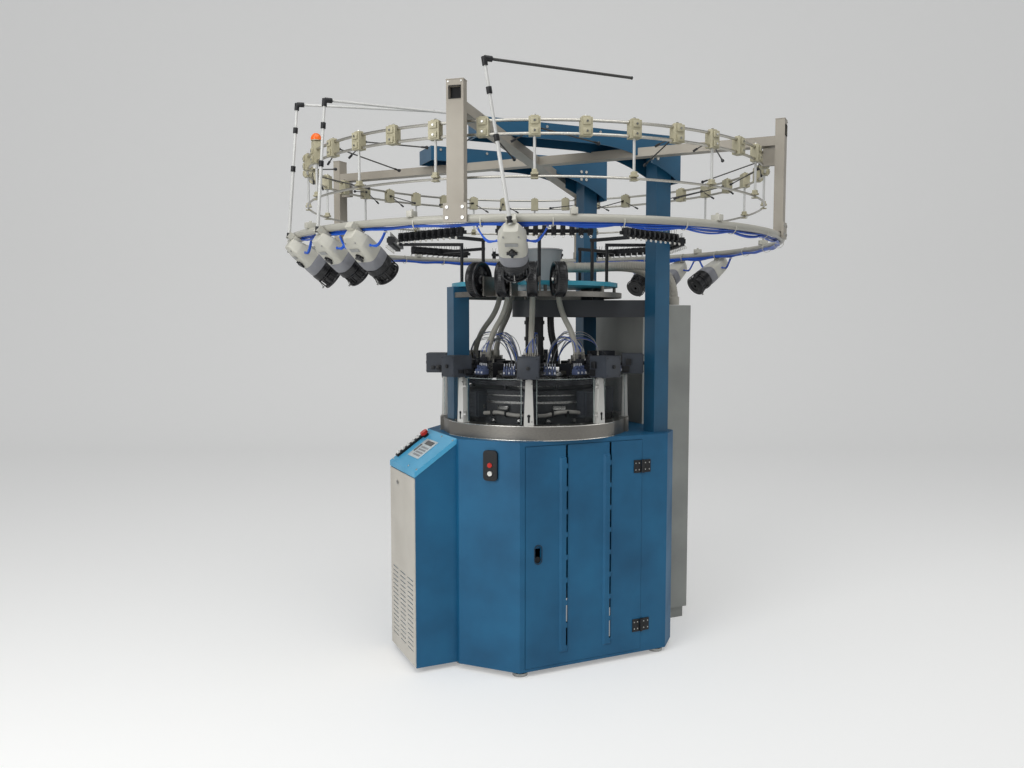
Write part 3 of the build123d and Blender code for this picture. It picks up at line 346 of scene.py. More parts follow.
tray_metal = worked_metal("brushed_aluminium_tray", "#787570", "#8f8c86", 0.42, (1, 1, 14))
finish(tray_metal, "tray_ring", "rim_ring", "fabric_tube")
tray_highlight_bars = []
tray_r, tray_top, tray_foot = 0.4692, 1.1435, 1.0795
for first, last in ((-175, -63), (-40, 27), (50, 162)):
    steps = int((last - first) / 3)
    for z in (tray_top, tray_foot):
        spots = [round_spot(tray_r, first + (last - first) * n / steps, z) for n in range(steps + 1)]
        tray_highlight_bars += [(start, end, 0.0022, 8) for start, end in zip(spots, spots[1:])]
# Bright aluminium: the tray's edge bars are a painted highlight, and the bolts of the columns and arms use it
# as their own colour.
bright_metal_and_highlight = worked_metal("rubbed_bright_aluminium", "#d6d4cd", "#e8e6df", 0.22, (1, 1, 1))
built("tray_bright_edges", bright_metal_and_highlight, bars=tray_highlight_bars)
built("tray_screws", ground_steel, bars=[
    upright(0.432, 0, 1.1445, 1.1495, 0.006, 16), upright(0.432, 0, 1.1495, 1.1505, 0.0035, 6)], ring=(24, 4))

# Guard posts: tapered aluminium castings, enamelled pale grey, each with a keyhole near its foot, drawn as a
# black plate of painted shade, and screws that hold the edge of the guard. They stand where the feeding heads
# do.
post_beige = coated_steel("beige_enamelled_casting", "#968f83", "#a69f92", 0.5)
finish(post_beige, "creel_frame")
post_white = coated_steel("pale_grey_enamelled_casting", "#c0bfba", "#cfceca", 0.4)
finish(post_white, "guard_posts")
# Black plates of painted shade, put where holes and recesses show only shade: the post keyholes, the post
# windows, the lock slot and the door's grip.
hole_shade = moulded("blackened_recess", "#08080a", "#0e0e10", 0.8)
head_step = 45
head_turns = [-164 + head_step * n for n in range(8)]
heads = (len(head_turns), head_turns[0])
built("guard_post_keyholes", hole_shade, [((0.4638, -0.0045, 1.16), (0.4652, 0.0045, 1.186))],
      [across(0.4622, 0.4644, 0, 1.19, 0.0075, 16)], ring=heads)
built("guard_post_screws", ground_steel,
      bars=[across(0.4595, 0.4655, 0.014, z, 0.003, 10) for z in (1.165, 1.335)], ring=heads)

# Guards: clear acrylic bent to the ring, with pale strips on their edges as a painted highlight where the
# edges catch the light. Two of them swing.
clear_acrylic = surface("clear_bent_acrylic", ("#171c1d", "#2c3334"), 30, Roughness=0.04, IOR=1.49,
                        Alpha=0.1)
finish(clear_acrylic, "fixed_guards", "guard_door_left", "guard_door_right")
# A pale, half-clear paint for the guards' edge strips: a painted highlight.
painted_edge_highlight = surface("polished_acrylic_edge", ("#a9b8b6", "#d2dcd9"), 60, Roughness=0.12, IOR=1.49,
                       Alpha=0.45)


def bent_strip(mesh, a0, a1, z0, z1, steps=14):
    """A pale strip of painted highlight that caps a guard's edge, half a millimetre proud of it on both
    sides.
    """
    inner, outer = 0.4475, 0.4525
    loops = []
    for n in range(steps + 1):
        a = a0 + (a1 - a0) * n / steps
        loops.append([mesh.verts.new(round_spot(r, a, z))
                      for r, z in ((inner, z0), (outer, z0), (outer, z1), (inner, z1))])
    for here, there in zip(loops, loops[1:]):
        for k in range(4):
            mesh.faces.new((here[k], there[k], there[(k + 1) % 4], here[(k + 1) % 4]))
    mesh.faces.new(loops[0])
    mesh.faces.new(loops[-1])


guard_foot, guard_top, post_half, edge_width = 1.149, 1.3532, 4.3, 0.35
for name, body, bays in (("fixed_guard_edges", "machine", head_turns[2:]),
                         ("left_guard_edges", "guard_door_left", head_turns[:1]),
                         ("right_guard_edges", "guard_door_right", head_turns[1:2])):
    strips = bmesh.new()
    for bay in bays:
        a0, a1 = bay + post_half, bay + head_step - post_half
        bent_strip(strips, a0, a1, guard_top, guard_top + 0.002)
        for a in (a0, a1 - edge_width):
            bent_strip(strips, a, a + edge_width, guard_foot, guard_top, 1)
    piece(name, strips, painted_edge_highlight, body)

# Boxes over the posts: dark-grey moulded housings of the yarn-finger drives, each with a lid
# that is held by a black knurled screw and four small ones, and with plugs at its sides.
box_grey = moulded("dark_grey_moulded_abs", "#2d3138", "#3a3f47", 0.5)
finish(box_grey, "feed_boxes", "selector_boxes")
built("box_lids", box_grey, [((0.5345, -0.0465, 1.363), (0.5385, 0.0465, 1.455))], bevel=0.0025, ring=heads)
lying_x = Matrix.Rotation(math.pi / 2, 4, "Y")
knurled = [(0, 0), (0.0085, 0), (0.0085, 0.007), (0.006, 0.0085), (0, 0.0085)]
built("box_lid_screws", black_abs,
      bars=[across(0.5384, 0.5398, y, z, 0.0028, 10) for z in (1.369, 1.449) for y in (-0.04, 0.04)],
      lathes=[(knurled, at(0.5384, 0, 1.409) @ lying_x, 20)], ring=heads)
built("box_plugs", black_abs, [
    ((0.462, 0.049, 1.375), (0.486, 0.06, 1.397)), ((0.494, 0.049, 1.378), (0.512, 0.058, 1.394)),
    ((0.452, -0.06, 1.402), (0.478, -0.049, 1.432))],
    [((0.474, 0.0595, 1.386), (0.474, 0.072, 1.386), 0.005, 12)], bevel=0.001, ring=heads)

# Valve banks: small slate-blue solenoid valves in rows on black brackets at both sides of each box,
# with a pale nozzle on each and a pale plug on every second coil.
pale_plastic = moulded("pale_grey_moulded_nylon", "#a6a8ac", "#bcbec2", 0.4)
valve_blue = moulded("slate_blue_moulded_nylon", "#3b4562", "#4a5573", 0.5)
valves, rails, plugs, nozzles = [], [], [], []
valve_pitch, valve_width = 0.0115, 0.0095
for side in (-1, 1):
    for n in range(5):
        near = 0.064 + valve_pitch * n
        far = near + valve_width
        middle = side * (near + far) / 2
        valves += [((0.39, side * near, 1.3715), (0.426, side * far, 1.396 + 0.004 * (n % 2))),
                   ((0.396, side * (near + 0.001), 1.396),
                    (0.416, side * (far - 0.001), 1.413 - 0.003 * (n % 3)))]
        nozzles.append(upright(0.4, middle, 1.409, 1.423, 0.0026, 10))
        if n % 2 == 0:
            plugs.append(((0.4258, side * (near + 0.0015), 1.377), (0.43, side * (far - 0.0015), 1.386)))
    rails += [((0.392, side * 0.0492, 1.3665), (0.43, side * 0.123, 1.3716)),
              ((0.436, side * 0.0492, 1.3665), (0.47, side * 0.053, 1.396)),
              ((0.42, side * 0.0492, 1.3665), (0.47, side * 0.053, 1.3716))]
built("valve_bodies", valve_blue, valves, bevel=0.0008, ring=heads)
built("valve_brackets", black_abs, rails, ring=heads)
built("valve_nozzles", pale_plastic, plugs, nozzles, ring=heads)

# Cam ring and what shows through the guards: the black ring that drives the needles, the clamps
# and bolts at its foot, and a pale air hose strapped round it with black ties.


def collar(inner, outer, low, high):
    """The outline that lathe() turns to a plain ring."""
    return [(inner, low), (outer, low), (outer, high), (inner, high)]


built("cam_ring_clamps", ground_steel, [((0.352, -0.017, 1.0785), (0.392, 0.017, 1.0885))],
      [upright(0.376, 0, 1.0885, 1.096, 0.0085, 6)], bevel=0.001, ring=(24, -156))
built("cam_adjusters", ground_steel, [((0.33, 0.024, 1.205), (0.344, 0.082, 1.222))],
      [across(0.33, 0.35, 0, 1.15, 0.011, 20), across(0.35, 0.353, 0, 1.15, 0.006, 6)], bevel=0.001,
      ring=(16, -150))
built("cam_ring_bands", ground_steel, lathes=[(collar(0.3302, *band), Matrix(), 96) for band in
                                             ((0.3335, 1.232, 1.243), (0.3325, 1.268, 1.273))])


def route(name, points, radius, material, body="machine", closed=False, ribs=None):
    """A flexible line through control points: a NURBS curve given a round section.

    ribs gives the pitch and the height of its ribs.
    """
    data = bpy.data.curves.new(name, "CURVE")
    data.dimensions = "3D"
    line = data.splines.new("NURBS")
    line.points.add(len(points) - 1)
    for spot, point in zip(line.points, points):
        spot.co = (*point, 1)
    line.order_u = 3
    line.use_endpoint_u = not closed
    line.use_cyclic_u = closed
    line.resolution_u = 10
    curve = linked(name, data)
    if ribs:
        wrap = curve.modifiers.new("ribs", "NODES")
        wrap.node_group = ribbed_wall
        set_inputs(wrap, Radius=radius, Rib_Pitch=ribs[0], Rib_Height=ribs[1], Material=material)
    else:
        data.bevel_depth = radius
        data.bevel_resolution = 3
        data.use_fill_caps = True
        data.materials.append(material)
    shape = curve.evaluated_get(bpy.context.evaluated_depsgraph_get())
    mesh = bpy.data.meshes.new_from_object(shape)
    bpy.data.objects.remove(curve)
    smooth(mesh)
    return carried(linked(name, mesh), body)


def merge(name, parts):
    """Makes one piece of several routed lines of one material."""
    whole = bmesh.new()
    for part in parts:
        whole.from_mesh(part.data)
    data = bpy.data.meshes.new(name)
    whole.to_mesh(data)
    whole.free()
    data.materials.append(parts[0].data.materials[0])
    for part in parts:
        bpy.data.objects.remove(part)
    for face in data.polygons:
        face.material_index = 0
    smooth(data)
    return carried(linked(name, data), "machine")


air_hose = moulded("grey_air_hose", "#a3a19b", "#b9b7b0", 0.45)
dice = random.Random(4)
wavy = [round_spot(0.344 + dice.uniform(0, 0.008), a, 1.186 + dice.uniform(-0.012, 0.012))
        for a in range(-180, 180, 12)]
route("cam_ring_air_hose", wavy, 0.0095, air_hose, closed=True)
built("air_hose_ties", black_abs, [((0.331, -0.004, 1.172), (0.364, 0.004, 1.2))], bevel=0.001,
      ring=(30, -174))

# Selector boxes: flat grey boxes of actuators under each feeding head, with a row of ribs and a
# fan of thin leads that go down behind the tray.
rib_pitch, rib_height = 0.014, 0.007
rib_feet = [1.178 + rib_pitch * n for n in range(7)]
built("selector_ribs", box_grey, [((0.3915, -0.024, z), (0.3945, 0.024, z + rib_height)) for z in rib_feet],
      bevel=0.0008, ring=heads)
leads = []
for y in (-0.02, -0.012, -0.004, 0.004, 0.012, 0.02):
    line = [(0.385, y, 1.165), (0.388, y * 1.2, 1.142), (0.38, y * 1.6, 1.11), (0.366, y * 2.2, 1.092)]
    leads.append(route("lead", line, 0.0022, black_abs, None))
copies(merge("selector_leads", leads), *heads)

# Feeding heads: an aluminium block over each feed with a comb of hard steel fingers, moved by a
# bank of small air cylinders, whose pale and blue tubes loop over to the dial.
head_alloy = worked_metal("machined_aluminium_head", "#8c8a84", "#a9a69e", 0.34, (2, 1, 1))
head_dark = moulded("black_anodised_bracket", "#1b1c20", "#2a2b31", 0.38)
finish(head_dark, "feed_heads")
cylinder_pitch = 0.0105
cylinder_ys = [(n - 3) * cylinder_pitch for n in range(7)]
cylinders = []
for y in cylinder_ys:
    cylinders += [upright(0.316, y, 1.4302, 1.462, 0.0046, 14), upright(0.316, y, 1.462, 1.47, 0.0028, 10),
                  upright(0.29, y, 1.4182, 1.438, 0.0036, 12)]
fingers = [((0.226, y - 0.0012, 1.366), (0.262, y + 0.0012, 1.38)) for y in cylinder_ys]
built("feeding_cylinders", head_alloy, fingers, cylinders, ring=heads)
stubs = [((0.352, y, 1.356), (0.372, y, 1.352), 0.0055, 12) for y in (-0.026, 0.0, 0.026)]
stubs += [upright(0.352, y, 1.44, 1.462, 0.0034, 10) for y in (-0.036, -0.028, 0.027, 0.035, 0.043)]
built("feeding_valves", head_dark, [
    ((0.3355, -0.034, 1.346), (0.352, 0.034, 1.392)), ((0.338, -0.044, 1.396), (0.372, -0.022, 1.44)),
    ((0.34, 0.02, 1.412), (0.366, 0.046, 1.448)), ((0.372, -0.012, 1.4125), (0.396, 0.03, 1.436))],
    stubs, bevel=0.0012, ring=heads)
head_screws = []
for y in (-0.03, -0.01, 0.01, 0.03):
    head_screws += [across(0.335, 0.3395, y, 1.404, 0.004, 6), across(0.352, 0.3565, y, 1.372, 0.0045, 10)]
built("feeding_head_screws", ground_steel,
      [((0.3, side * 0.0372, 1.345), (0.33, side * 0.0402, 1.42)) for side in (-1, 1)], head_screws,
      ring=heads)
blue_tube = moulded("royal_blue_polyurethane", "#1547a8", "#2260cf", 0.3)
pale_tube = surface("milky_nylon_tube", ("#8f9296", "#b6b8ba"), 40, Roughness=0.3, IOR=1.53)
pale_loops, blue_loops = [], []
tube_r = 0.0017
for turn in head_turns:
    for n, y in enumerate(cylinder_ys):
        lift = dice.uniform(0.03, 0.075)
        sway = dice.uniform(-8, 8)
        start = turned(turn) @ Vector((0.316, y, 1.469))
        line = [start, start + Vector((0, 0, 0.018)),
                round_spot(0.285, turn + sway * 0.3, 1.5 + lift * 0.6),
                round_spot(0.21, turn + sway, 1.5 + lift),
                round_spot(0.135, turn + sway * 1.4, 1.465 + lift * 0.5),
                round_spot(0.112, turn + sway * 1.2, 1.4072)]
        if n % 3 == 1:
            blue_loops.append(route("loop", line, tube_r, blue_tube, None))
        else:
            pale_loops.append(route("loop", line, tube_r, pale_tube, None))
merge("pale_air_tubes", pale_loops)
merge("blue_air_tubes", blue_loops)

# Dial column: black turned tube over the dial, with clamp collars, and round sockets on the dial
# that take the air tubes.
sockets = [(round_spot(0.112, a, 1.4071), round_spot(0.112, a, 1.42), 0.008, 12) for a in range(0, 360, 36)]
built("dial_column_collars", black_abs, bars=sockets,
      lathes=[(collar(0.0452, 0.0505, z, z + 0.018),) for z in (1.428, 1.52, 1.6)])

# Suction hoses: grey ribbed PVC hose, 28 mm across, from cuffs under the support plate to the
# feeding heads, a black one to the dial, and two wide ones from the canister to the filter.


def ribbed_tree():
    """Wraps a curve in a round wall whose radius swells and falls at an even pitch."""
    tree, given = new_tree("ribbed_wall", Geometry="Geometry", Radius="Float", Rib_Height="Float",
                           Rib_Pitch="Float", Material="Material")
    pitch = (given, "Rib Pitch")
    quarter = node(tree, "Math", {0: pitch, 1: 4.0}, operation="DIVIDE")
    spaced = node(tree, "GeometryNodeResampleCurve", {"Curve": (given, "Geometry"), "Length": (quarter, 0)},
                  mode="LENGTH")
    along = node(tree, "GeometryNodeSplineParameter")
    count = node(tree, "Math", {0: (along, "Length"), 1: pitch}, operation="DIVIDE")
    phase = node(tree, "Math", {0: (count, 0), 1: 2 * math.pi}, operation="MULTIPLY")
    wave = node(tree, "Math", {0: (phase, 0)}, operation="SINE")
    swell = node(tree, "Math", {0: (wave, 0), 1: (given, "Rib Height")}, operation="MULTIPLY")
    wall_r = node(tree, "Math", {0: (given, "Radius"), 1: (swell, 0)}, operation="ADD")
    ring = node(tree, "GeometryNodeCurvePrimitiveCircle", Resolution=20, Radius=1.0)
    wall = node(tree, "GeometryNodeCurveToMesh", {"Curve": (spaced, "Curve"), "Scale": (wall_r, 0),
                                                  "Profile Curve": (ring, "Curve")}, Fill_Caps=True)
    return ended(tree, given, (wall, "Mesh"))


ribbed_wall = ribbed_tree()
hose_pvc = moulded("grey_ribbed_pvc", "#a29e93", "#b8b4a9", 0.45)
hose_black = moulded("black_ribbed_pvc", "#141416", "#202124", 0.4)
grey_hoses, cuffs = [], []
hose_spots = ((0.17, 0, 1.78), (0.17, 0, 1.685), (0.298, 0, 1.525), (0.298, 0, 1.43))
for head in (0, 1, 2, 6, 7):
    spin = turned(head_turns[head])
    line = [spin @ Vector(spot) for spot in hose_spots]
    grey_hoses.append(route("hose", line, 0.0132, hose_pvc, None, ribs=(0.0065, 0.0009)))
    cuffs += [(spin @ Vector((r, 0, z0)), spin @ Vector((r, 0, z1)), 0.0165, 24)
              for r, z0, z1 in ((0.17, 1.742, 1.7797), (0.298, 1.4303, 1.462))]
outlet_z, filter_x = 1.885, 0.75
for y in (-0.05, 0.05):
    spread = 1.6 * y - 0.04
    line = [(0.1473, y, outlet_z), (0.2773, y, outlet_z), (0.61, spread, 1.907), (filter_x, spread, 1.835),
            (filter_x, spread, 1.7)]
    grey_hoses.append(route("hose", line, 0.0218, hose_pvc, None, ribs=(0.009, 0.0012)))
    cuffs += [across(0.1474, 0.19, y, outlet_z, 0.0255, 28),
              upright(filter_x, spread, 1.7003, 1.742, 0.0265, 28)]
hoses = merge("ribbed_grey_hoses", grey_hoses)
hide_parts("suction_hoses")
black_line = [(0.08, -0.02, 1.636), (0.08, -0.02, 1.56), (0.1, -0.032, 1.485), (0.1, -0.032, 1.407)]
route("ribbed_black_hose", black_line, 0.0172, hose_black, ribs=(0.0075, 0.0008))
built("hose_cuffs", hose_pvc, bars=cuffs, bevel=0.0015)

# Feeder leads: royal-blue polyurethane air tubes, three to a bunch, that drop from the bundle on
# the ring in a slack loop to both sides of each feeder, with a white tie where they leave it.
ring_r, ring_z = 1.17, 1.99
bundle_r, bundle_z = 1.1544, 1.9744
feeder_reach = 0.055


def feeder_place(degrees):
    """A feeder's frame: x along the ring, y outwards, z down along the feeder's axis."""
    a, t = math.radians(degrees), math.radians(54)
    out = Vector((math.cos(a), math.sin(a), 0))
    down = out * -math.sin(t) + Vector((0, 0, -math.cos(t)))
    along = Vector((-math.sin(a), math.cos(a), 0))
    turn = Matrix((along, down.cross(along), down)).transposed().to_4x4()
    return at(*round_spot(ring_r, degrees, ring_z)) @ turn


white_abs = moulded("ivory_white_moulded_abs", "#b7b5aa", "#c6c4b9", 0.38)
feeders = (-177, -162, -152, -120, 3, 18, 28, 60)
loops, white_ties = [], []
strand_r = 0.0034
for turn in feeders:
    place = feeder_place(turn)
    for side in (-1, 1):
        start = Vector(round_spot(bundle_r, turn + 6.5 * side, 1.9625))
        low = Vector(round_spot(bundle_r, turn + 5.0 * side, 1.9124))
        stub, entry = (place @ Vector((side * x, feeder_reach, 0.06)) for x in (0.0642, 0.0521))
        for strand in range(3):
            a = 2.1 * strand
            shift = place.to_3x3() @ Vector((0, strand_r * math.cos(a), strand_r * math.sin(a)))
            sag = Vector((0, 0, -0.007 * strand))
            line = [start + shift, low + shift + sag, stub + shift + sag * 0.5, entry + shift]
            loops.append(route("lead", line, 0.0031, blue_tube, None))
        white_ties.append((collar(0.0062, 0.0078, -0.0018, 0.0018), at(*start) @ at(0, 0, -0.006), 16))
merge("blue_feeder_leads", loops)
built("feeder_lead_ties", white_abs, lathes=white_ties)

# Support plate and columns: a turquoise round plate over the bridge, with the metal ring hung
# under its rim, on folded box columns of deep-blue enamel that rise to the two upper arms.
turquoise = coated_steel("turquoise_enamel", "#2f8ea6", "#3fa3bb", 0.34)
finish(turquoise, "support_plate")
deep_blue = coated_steel("deep_blue_enamel", "#164763", "#1f5777", 0.34)
finish(deep_blue, "columns", "top_arms")
built("support_plate_bolts", ground_steel, bars=[upright(0.385, 0, 1.8, 1.8055, 0.0065, 6)], bevel=0.0006,
      ring=(16, -160))
bolts = []
for side in (-1, 1):
    arm_face = side * 0.34 - 0.0905
    bolts += [((x, side * 0.305, z), (x, side * 0.301, z), 0.008, 6)
              for x in (0.465, 0.515) for z in (1.655, 1.7, 2.395, 2.44)]
    bolts += [((x, arm_face, z), (x, arm_face - 0.004, z), 0.008, 16)
              for x in (0.4, 0.43) for z in (2.375, 2.415)]
    bolts += [((x, arm_face, 2.468), (x, arm_face - 0.0035, 2.468), 0.0065, 16) for x in (-0.4, -0.15, 0.12)]
built("column_and_arm_bolts", bright_metal_and_highlight, bars=bolts)

# Elastane wheels: black nylon rollers that unwind elastane yarn. Each is moulded with a deep
# rim, six bosses round the hub and fine ribs that grip the yarn.


def polar_bar(place, degrees, foot, head, radius, steps, far_radius=None):
    """A bar from one (radius, height) to another, at a turn round the axis of a place."""
    ends = [place @ Vector(round_spot(r, degrees, z)) for r, z in (foot, head)]
    return *ends, radius, steps, far_radius


black_nylon = moulded("glossy_black_nylon", "#0e0e10", "#1a1b1e", 0.28)
lying_y = Matrix.Rotation(math.pi / 2, 4, "X")
wheel_axis_r, wheel_z = 0.512, 1.8
wheel_places = [turned(a) @ at(wheel_axis_r, 0, wheel_z) for a in (-145, -131, -117, -104)]
wheel_half = [(0.0064, 0.0238), (0.02, 0.0238), (0.023, 0.021), (0.025, 0.014), (0.033, 0.011),
              (0.0615, 0.01), (0.064, 0.018), (0.07, 0.0225), (0.0755, 0.024), (0.0788, 0.0222),
              (0.0798, 0.018), (0.077, 0.012), (0.0755, 0.005)]
wheel_outline = wheel_half + [(r, -z) for r, z in reversed(wheel_half)]
for n, spot in enumerate(wheel_places, 1):
    place = spot @ lying_y
    bosses = [polar_bar(place, 60 * k + 20, (0.046, low), (0.046, high), 0.0095, 20, 0.007)
              for k in range(6) for low, high in ((-0.01, -0.0155), (0.01, 0.0155))]
    grips = [polar_bar(place, 7.5 * k, (0.0768, -0.011), (0.0768, 0.011), 0.0016, 6) for k in range(48)]
    made = built(f"ribbed_wheel_{n}", black_nylon, bars=bosses + grips, lathes=[(wheel_outline, place, 64)],
                 body=f"elastane_wheel_{n}")
    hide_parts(f"elastane_wheel_{n}")
built("wheel_end_caps", ground_steel,
      bars=[(spot @ Vector((0, -0.0262, 0)), spot @ Vector((0, -0.032, 0)), 0.0105, 24, 0.0075)
            for spot in wheel_places])

# Suction canister: a tapered bucket moulded of pale grey polypropylene, with a rolled rim round
# its top and a foot ring where it stands on the support plate.
pale_grey = moulded("pale_grey_polypropylene", "#8e8c8b", "#9c9a99", 0.45)
finish(pale_grey, "suction_canister")
canister = at(0.045, 0, 0)
top_rim = [(0.0965, 1.963), (0.1005, 1.9635), (0.1015, 1.9665), (0.1, 1.97), (0.095, 1.9715)]
foot_rim = [(0.0655, 1.8005), (0.072, 1.8005), (0.072, 1.806), (0.0672, 1.809)]
built("canister_rims", pale_grey, lathes=[(top_rim, canister, 72), (foot_rim, canister, 72)])

# Yarn sensors: rows of small black stop-motion sensors, each with a white ceramic eyelet on a
# wire arm, two feeler wires and a pair of levers.
ceramic = moulded("white_glazed_ceramic", "#d8d6d0", "#e8e6e0", 0.15)
sensor_pitch = 0.038
sensor_ys = [(n - 5) * sensor_pitch for n in range(11)]
sensor_rows = (8, 22.5)
eyes = [(collar(0.003, 0.0055, -0.002, 0.002), at(0.713, y, 1.966) @ lying_x, 16) for y in sensor_ys]
built("sensor_eyelets", ceramic, lathes=eyes, ring=sensor_rows)
wires, levers = [], []
for y in sensor_ys:
    wires += [((0.7, y, 1.9735), (0.713, y, 1.9715), 0.0014, 8)]
    wires += [((0.69, y + low, 2.0128), (0.69, y + high, 2.034), 0.0012, 8)
              for low, high in ((-0.006, -0.01), (0.006, 0.01))]
    levers += [((0.7015, y - 0.0065, 1.984), (0.7085, y + 0.0065, 2.006)),
               ((0.67, y - 0.008, 2.0003), (0.6795, y + 0.008, 2.012))]
built("sensor_wires", ground_steel, bars=wires, ring=sensor_rows)
built("sensor_levers", black_nylon, levers, bevel=0.0015, ring=sensor_rows)

# Feeder ring: a round tube bent to a ring, enamelled pale, under which a bundle of royal-blue
# air tubes is strapped and dips a little between its ties.


def tube_section(radius, height, tube, sides):
    """The round section of a tube that lathe() bends to a ring."""
    turns = [2 * math.pi * n / sides for n in range(sides)]
    return [(radius + tube * math.cos(a), height + tube * math.sin(a)) for a in turns]


tube_enamel = coated_steel("pale_grey_enamelled_tube", "#a3a197", "#b5b3a8", 0.32)
made = built("bent_ring_tube", tube_enamel, lathes=[(tube_section(ring_r, ring_z, 0.015, 12), Matrix(), 180)])
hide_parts("feeder_ring")
bundle_spots, twist_r = 112, 0.0052
for strand, dip in enumerate((0.002, 0.01, 0.016, 0.006, 0.003)):
    line = []
    for n in range(bundle_spots):
        a = 3 + 360 / bundle_spots * n
        slack = dip * math.sin(math.pi * (n % 4) / 4)
        twist = math.radians(72 * strand + 3 * a)
        line.append(round_spot(bundle_r + twist_r * math.cos(twist), a,
                               bundle_z + twist_r * math.sin(twist) - slack))
    route(f"blue_bundle_strand_{strand + 1}", line, 0.0036, blue_tube, closed=True)
built("bundle_ties", white_abs, ring=(28, 3),
      lathes=[(collar(0.0222, 0.024, -0.0022, 0.0022), at(1.162, 0, 1.982) @ lying_y, 20)])
built("ring_clips", white_abs, [((1.148, -0.012, 2.002), (1.192, 0.012, 2.026))],
      [upright(ring_r, 0, 2.026, 2.033, 0.006, 12)], bevel=0.002, ring=(12, 11))

# Storage feeders: a white moulded housing on the ring, narrow at its clamp and full at its nose,
# with a grey cap, a black four-armed knob and a black drum that winds a store of yarn.


def lofted(mesh, sections, place, steps=40):
    """A closed shell through level sections of (height, half width, half depth, squareness)."""
    rings = []
    for z, a, b, power in sections:
        ring = []
        for n in range(steps):
            t = 2 * math.pi * n / steps
            c, s = math.cos(t), math.sin(t)
            x = a * math.copysign(abs(c) ** (2 / power), c)
            y = b * math.copysign(abs(s) ** (2 / power), s)
            ring.append(mesh.verts.new(place @ Vector((x, y, z))))
        rings.append(ring)
    for here, there in zip(rings, rings[1:]):
        for n in range(steps):
            after = (n + 1) % steps
            mesh.faces.new((here[n], here[after], there[after], there[n]))
    mesh.faces.new(rings[0])
    mesh.faces.new(rings[-1])


cap_grey = moulded("grey_moulded_cap", "#77787d", "#87888d", 0.35)
screen = surface("bare_recessed_field", ("#8f908f", "#9fa09e"), 80, Roughness=0.4)
drum_outline = [(0.0083, 0.1894), (0.048, 0.1894), (0.05, 0.191), (0.0498, 0.195), (0.043, 0.201),
                (0.0425, 0.227), (0.049, 0.233), (0.05, 0.236), (0.0485, 0.2391), (0.03, 0.2393),
                (0.026, 0.236), (0.0083, 0.236)]
field_tilt = Matrix.Rotation(math.radians(-4), 4, "X")
knob_outline = [(0, -0.004), (0.0132, -0.004), (0.0132, 0.007), (0.011, 0.0103), (0, 0.0103)]
brake_outline = [(0, 0.1552), (0.0508, 0.1552), (0.0532, 0.158), (0.0532, 0.185), (0.05, 0.189),
                 (0, 0.189)]
brake_ribs = [[(0.053, z), (0.0545, z + 0.0006), (0.0545, z + 0.0024), (0.053, z + 0.003)]
              for z in (0.164, 0.172, 0.18)]
guard_outline = [(0.0515, 0.23), (0.056, 0.23), (0.0568, 0.235), (0.0535, 0.238), (0.051, 0.235)]
shells, noses = bmesh.new(), bmesh.new()
knob_arms, dark_bars, dark_rounds, fields, metal_bars, eyelets = [], [], [], [], [], []
for n, turn in enumerate(feeders, 1):
    place = feeder_place(turn)
    axis = place @ at(0, feeder_reach, 0)
    lofted(shells, [
        (-0.0123, 0.0235, 0.018, 6), (-0.011, 0.0272, 0.0222, 6), (-0.004, 0.031, 0.0248, 6),
        (0.03, 0.0508, 0.0308, 6), (0.0335, 0.0518, 0.0322, 6), (0.07, 0.053, 0.0374, 5),
        (0.108, 0.0541, 0.0425, 4), (0.11, 0.0536, 0.0422, 4)], axis)
    slab(shells, (-0.02, 0.0152, -0.012), (0.02, 0.05, 0.028), place)
    slab(shells, (-0.018, 0.014, -0.034), (0.018, 0.04, -0.0132), place)
    lofted(noses, [
        (0.1102, 0.053, 0.042, 4), (0.112, 0.0543, 0.0433, 4), (0.13, 0.055, 0.0465, 3.2),
        (0.15, 0.0548, 0.0495, 2.7), (0.1555, 0.053, 0.049, 2.5)], axis)
    knob = place @ at(0, 0.0945, 0.082) @ Matrix.Rotation(-math.pi / 2, 4, "X")
    knob_arms += [((-0.02, -0.0045, 0.001), (0.02, 0.0045, 0.009), knob),
                  ((-0.0045, -0.02, 0.001), (0.0045, 0.02, 0.009), knob)]
    dark_rounds += [(knob_outline, knob, 24), (brake_outline, axis, 56), (guard_outline, axis, 48)]
    dark_rounds += [(outline, axis, 56) for outline in brake_ribs]
    dark_bars += [polar_bar(axis, a, (0.0525, 0.186), (0.054, 0.233), 0.003, 10)
                  for a in (35, 90, 145, 250, 290)]
    fields.append(((-0.024, 0.0872, 0.044), (0.024, 0.088, 0.06), place @ field_tilt))
    metal_bars += [(place @ Vector((x, 0.074, 0.012)), place @ Vector((x, 0.0855, 0.012)), 0.0035, 12)
                   for x in (-0.028, 0.028)]
    metal_bars.append((place @ Vector((0, 0.103, 0.18)), place @ Vector((0, 0.118, 0.216)), 0.0016, 8))
    eyelets.append((collar(0.0035, 0.006, -0.002, 0.002), place @ at(0, 0.1195, 0.218), 16))
    pins = [polar_bar(axis, 22.5 * k, (0.044, 0.1965), (0.044, 0.2325), 0.0026, 8) for k in range(16)]
    made = built(f"yarn_drum_{n}", black_nylon, bars=pins, lathes=[(drum_outline, axis, 56)],
                 body=f"feeder_drum_{n}")
    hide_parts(f"feeder_drum_{n}")
housing = piece("feeder_shells", shells, white_abs)
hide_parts("feeder_housings")
piece("feeder_noses", noses, cap_grey)
built("feeder_knobs_and_guards", black_nylon, knob_arms, dark_bars, dark_rounds, bevel=0.0006)
built("feeder_label_fields", screen, fields)
built("feeder_screws_and_eyelets", ground_steel, bars=metal_bars, lathes=eyelets)

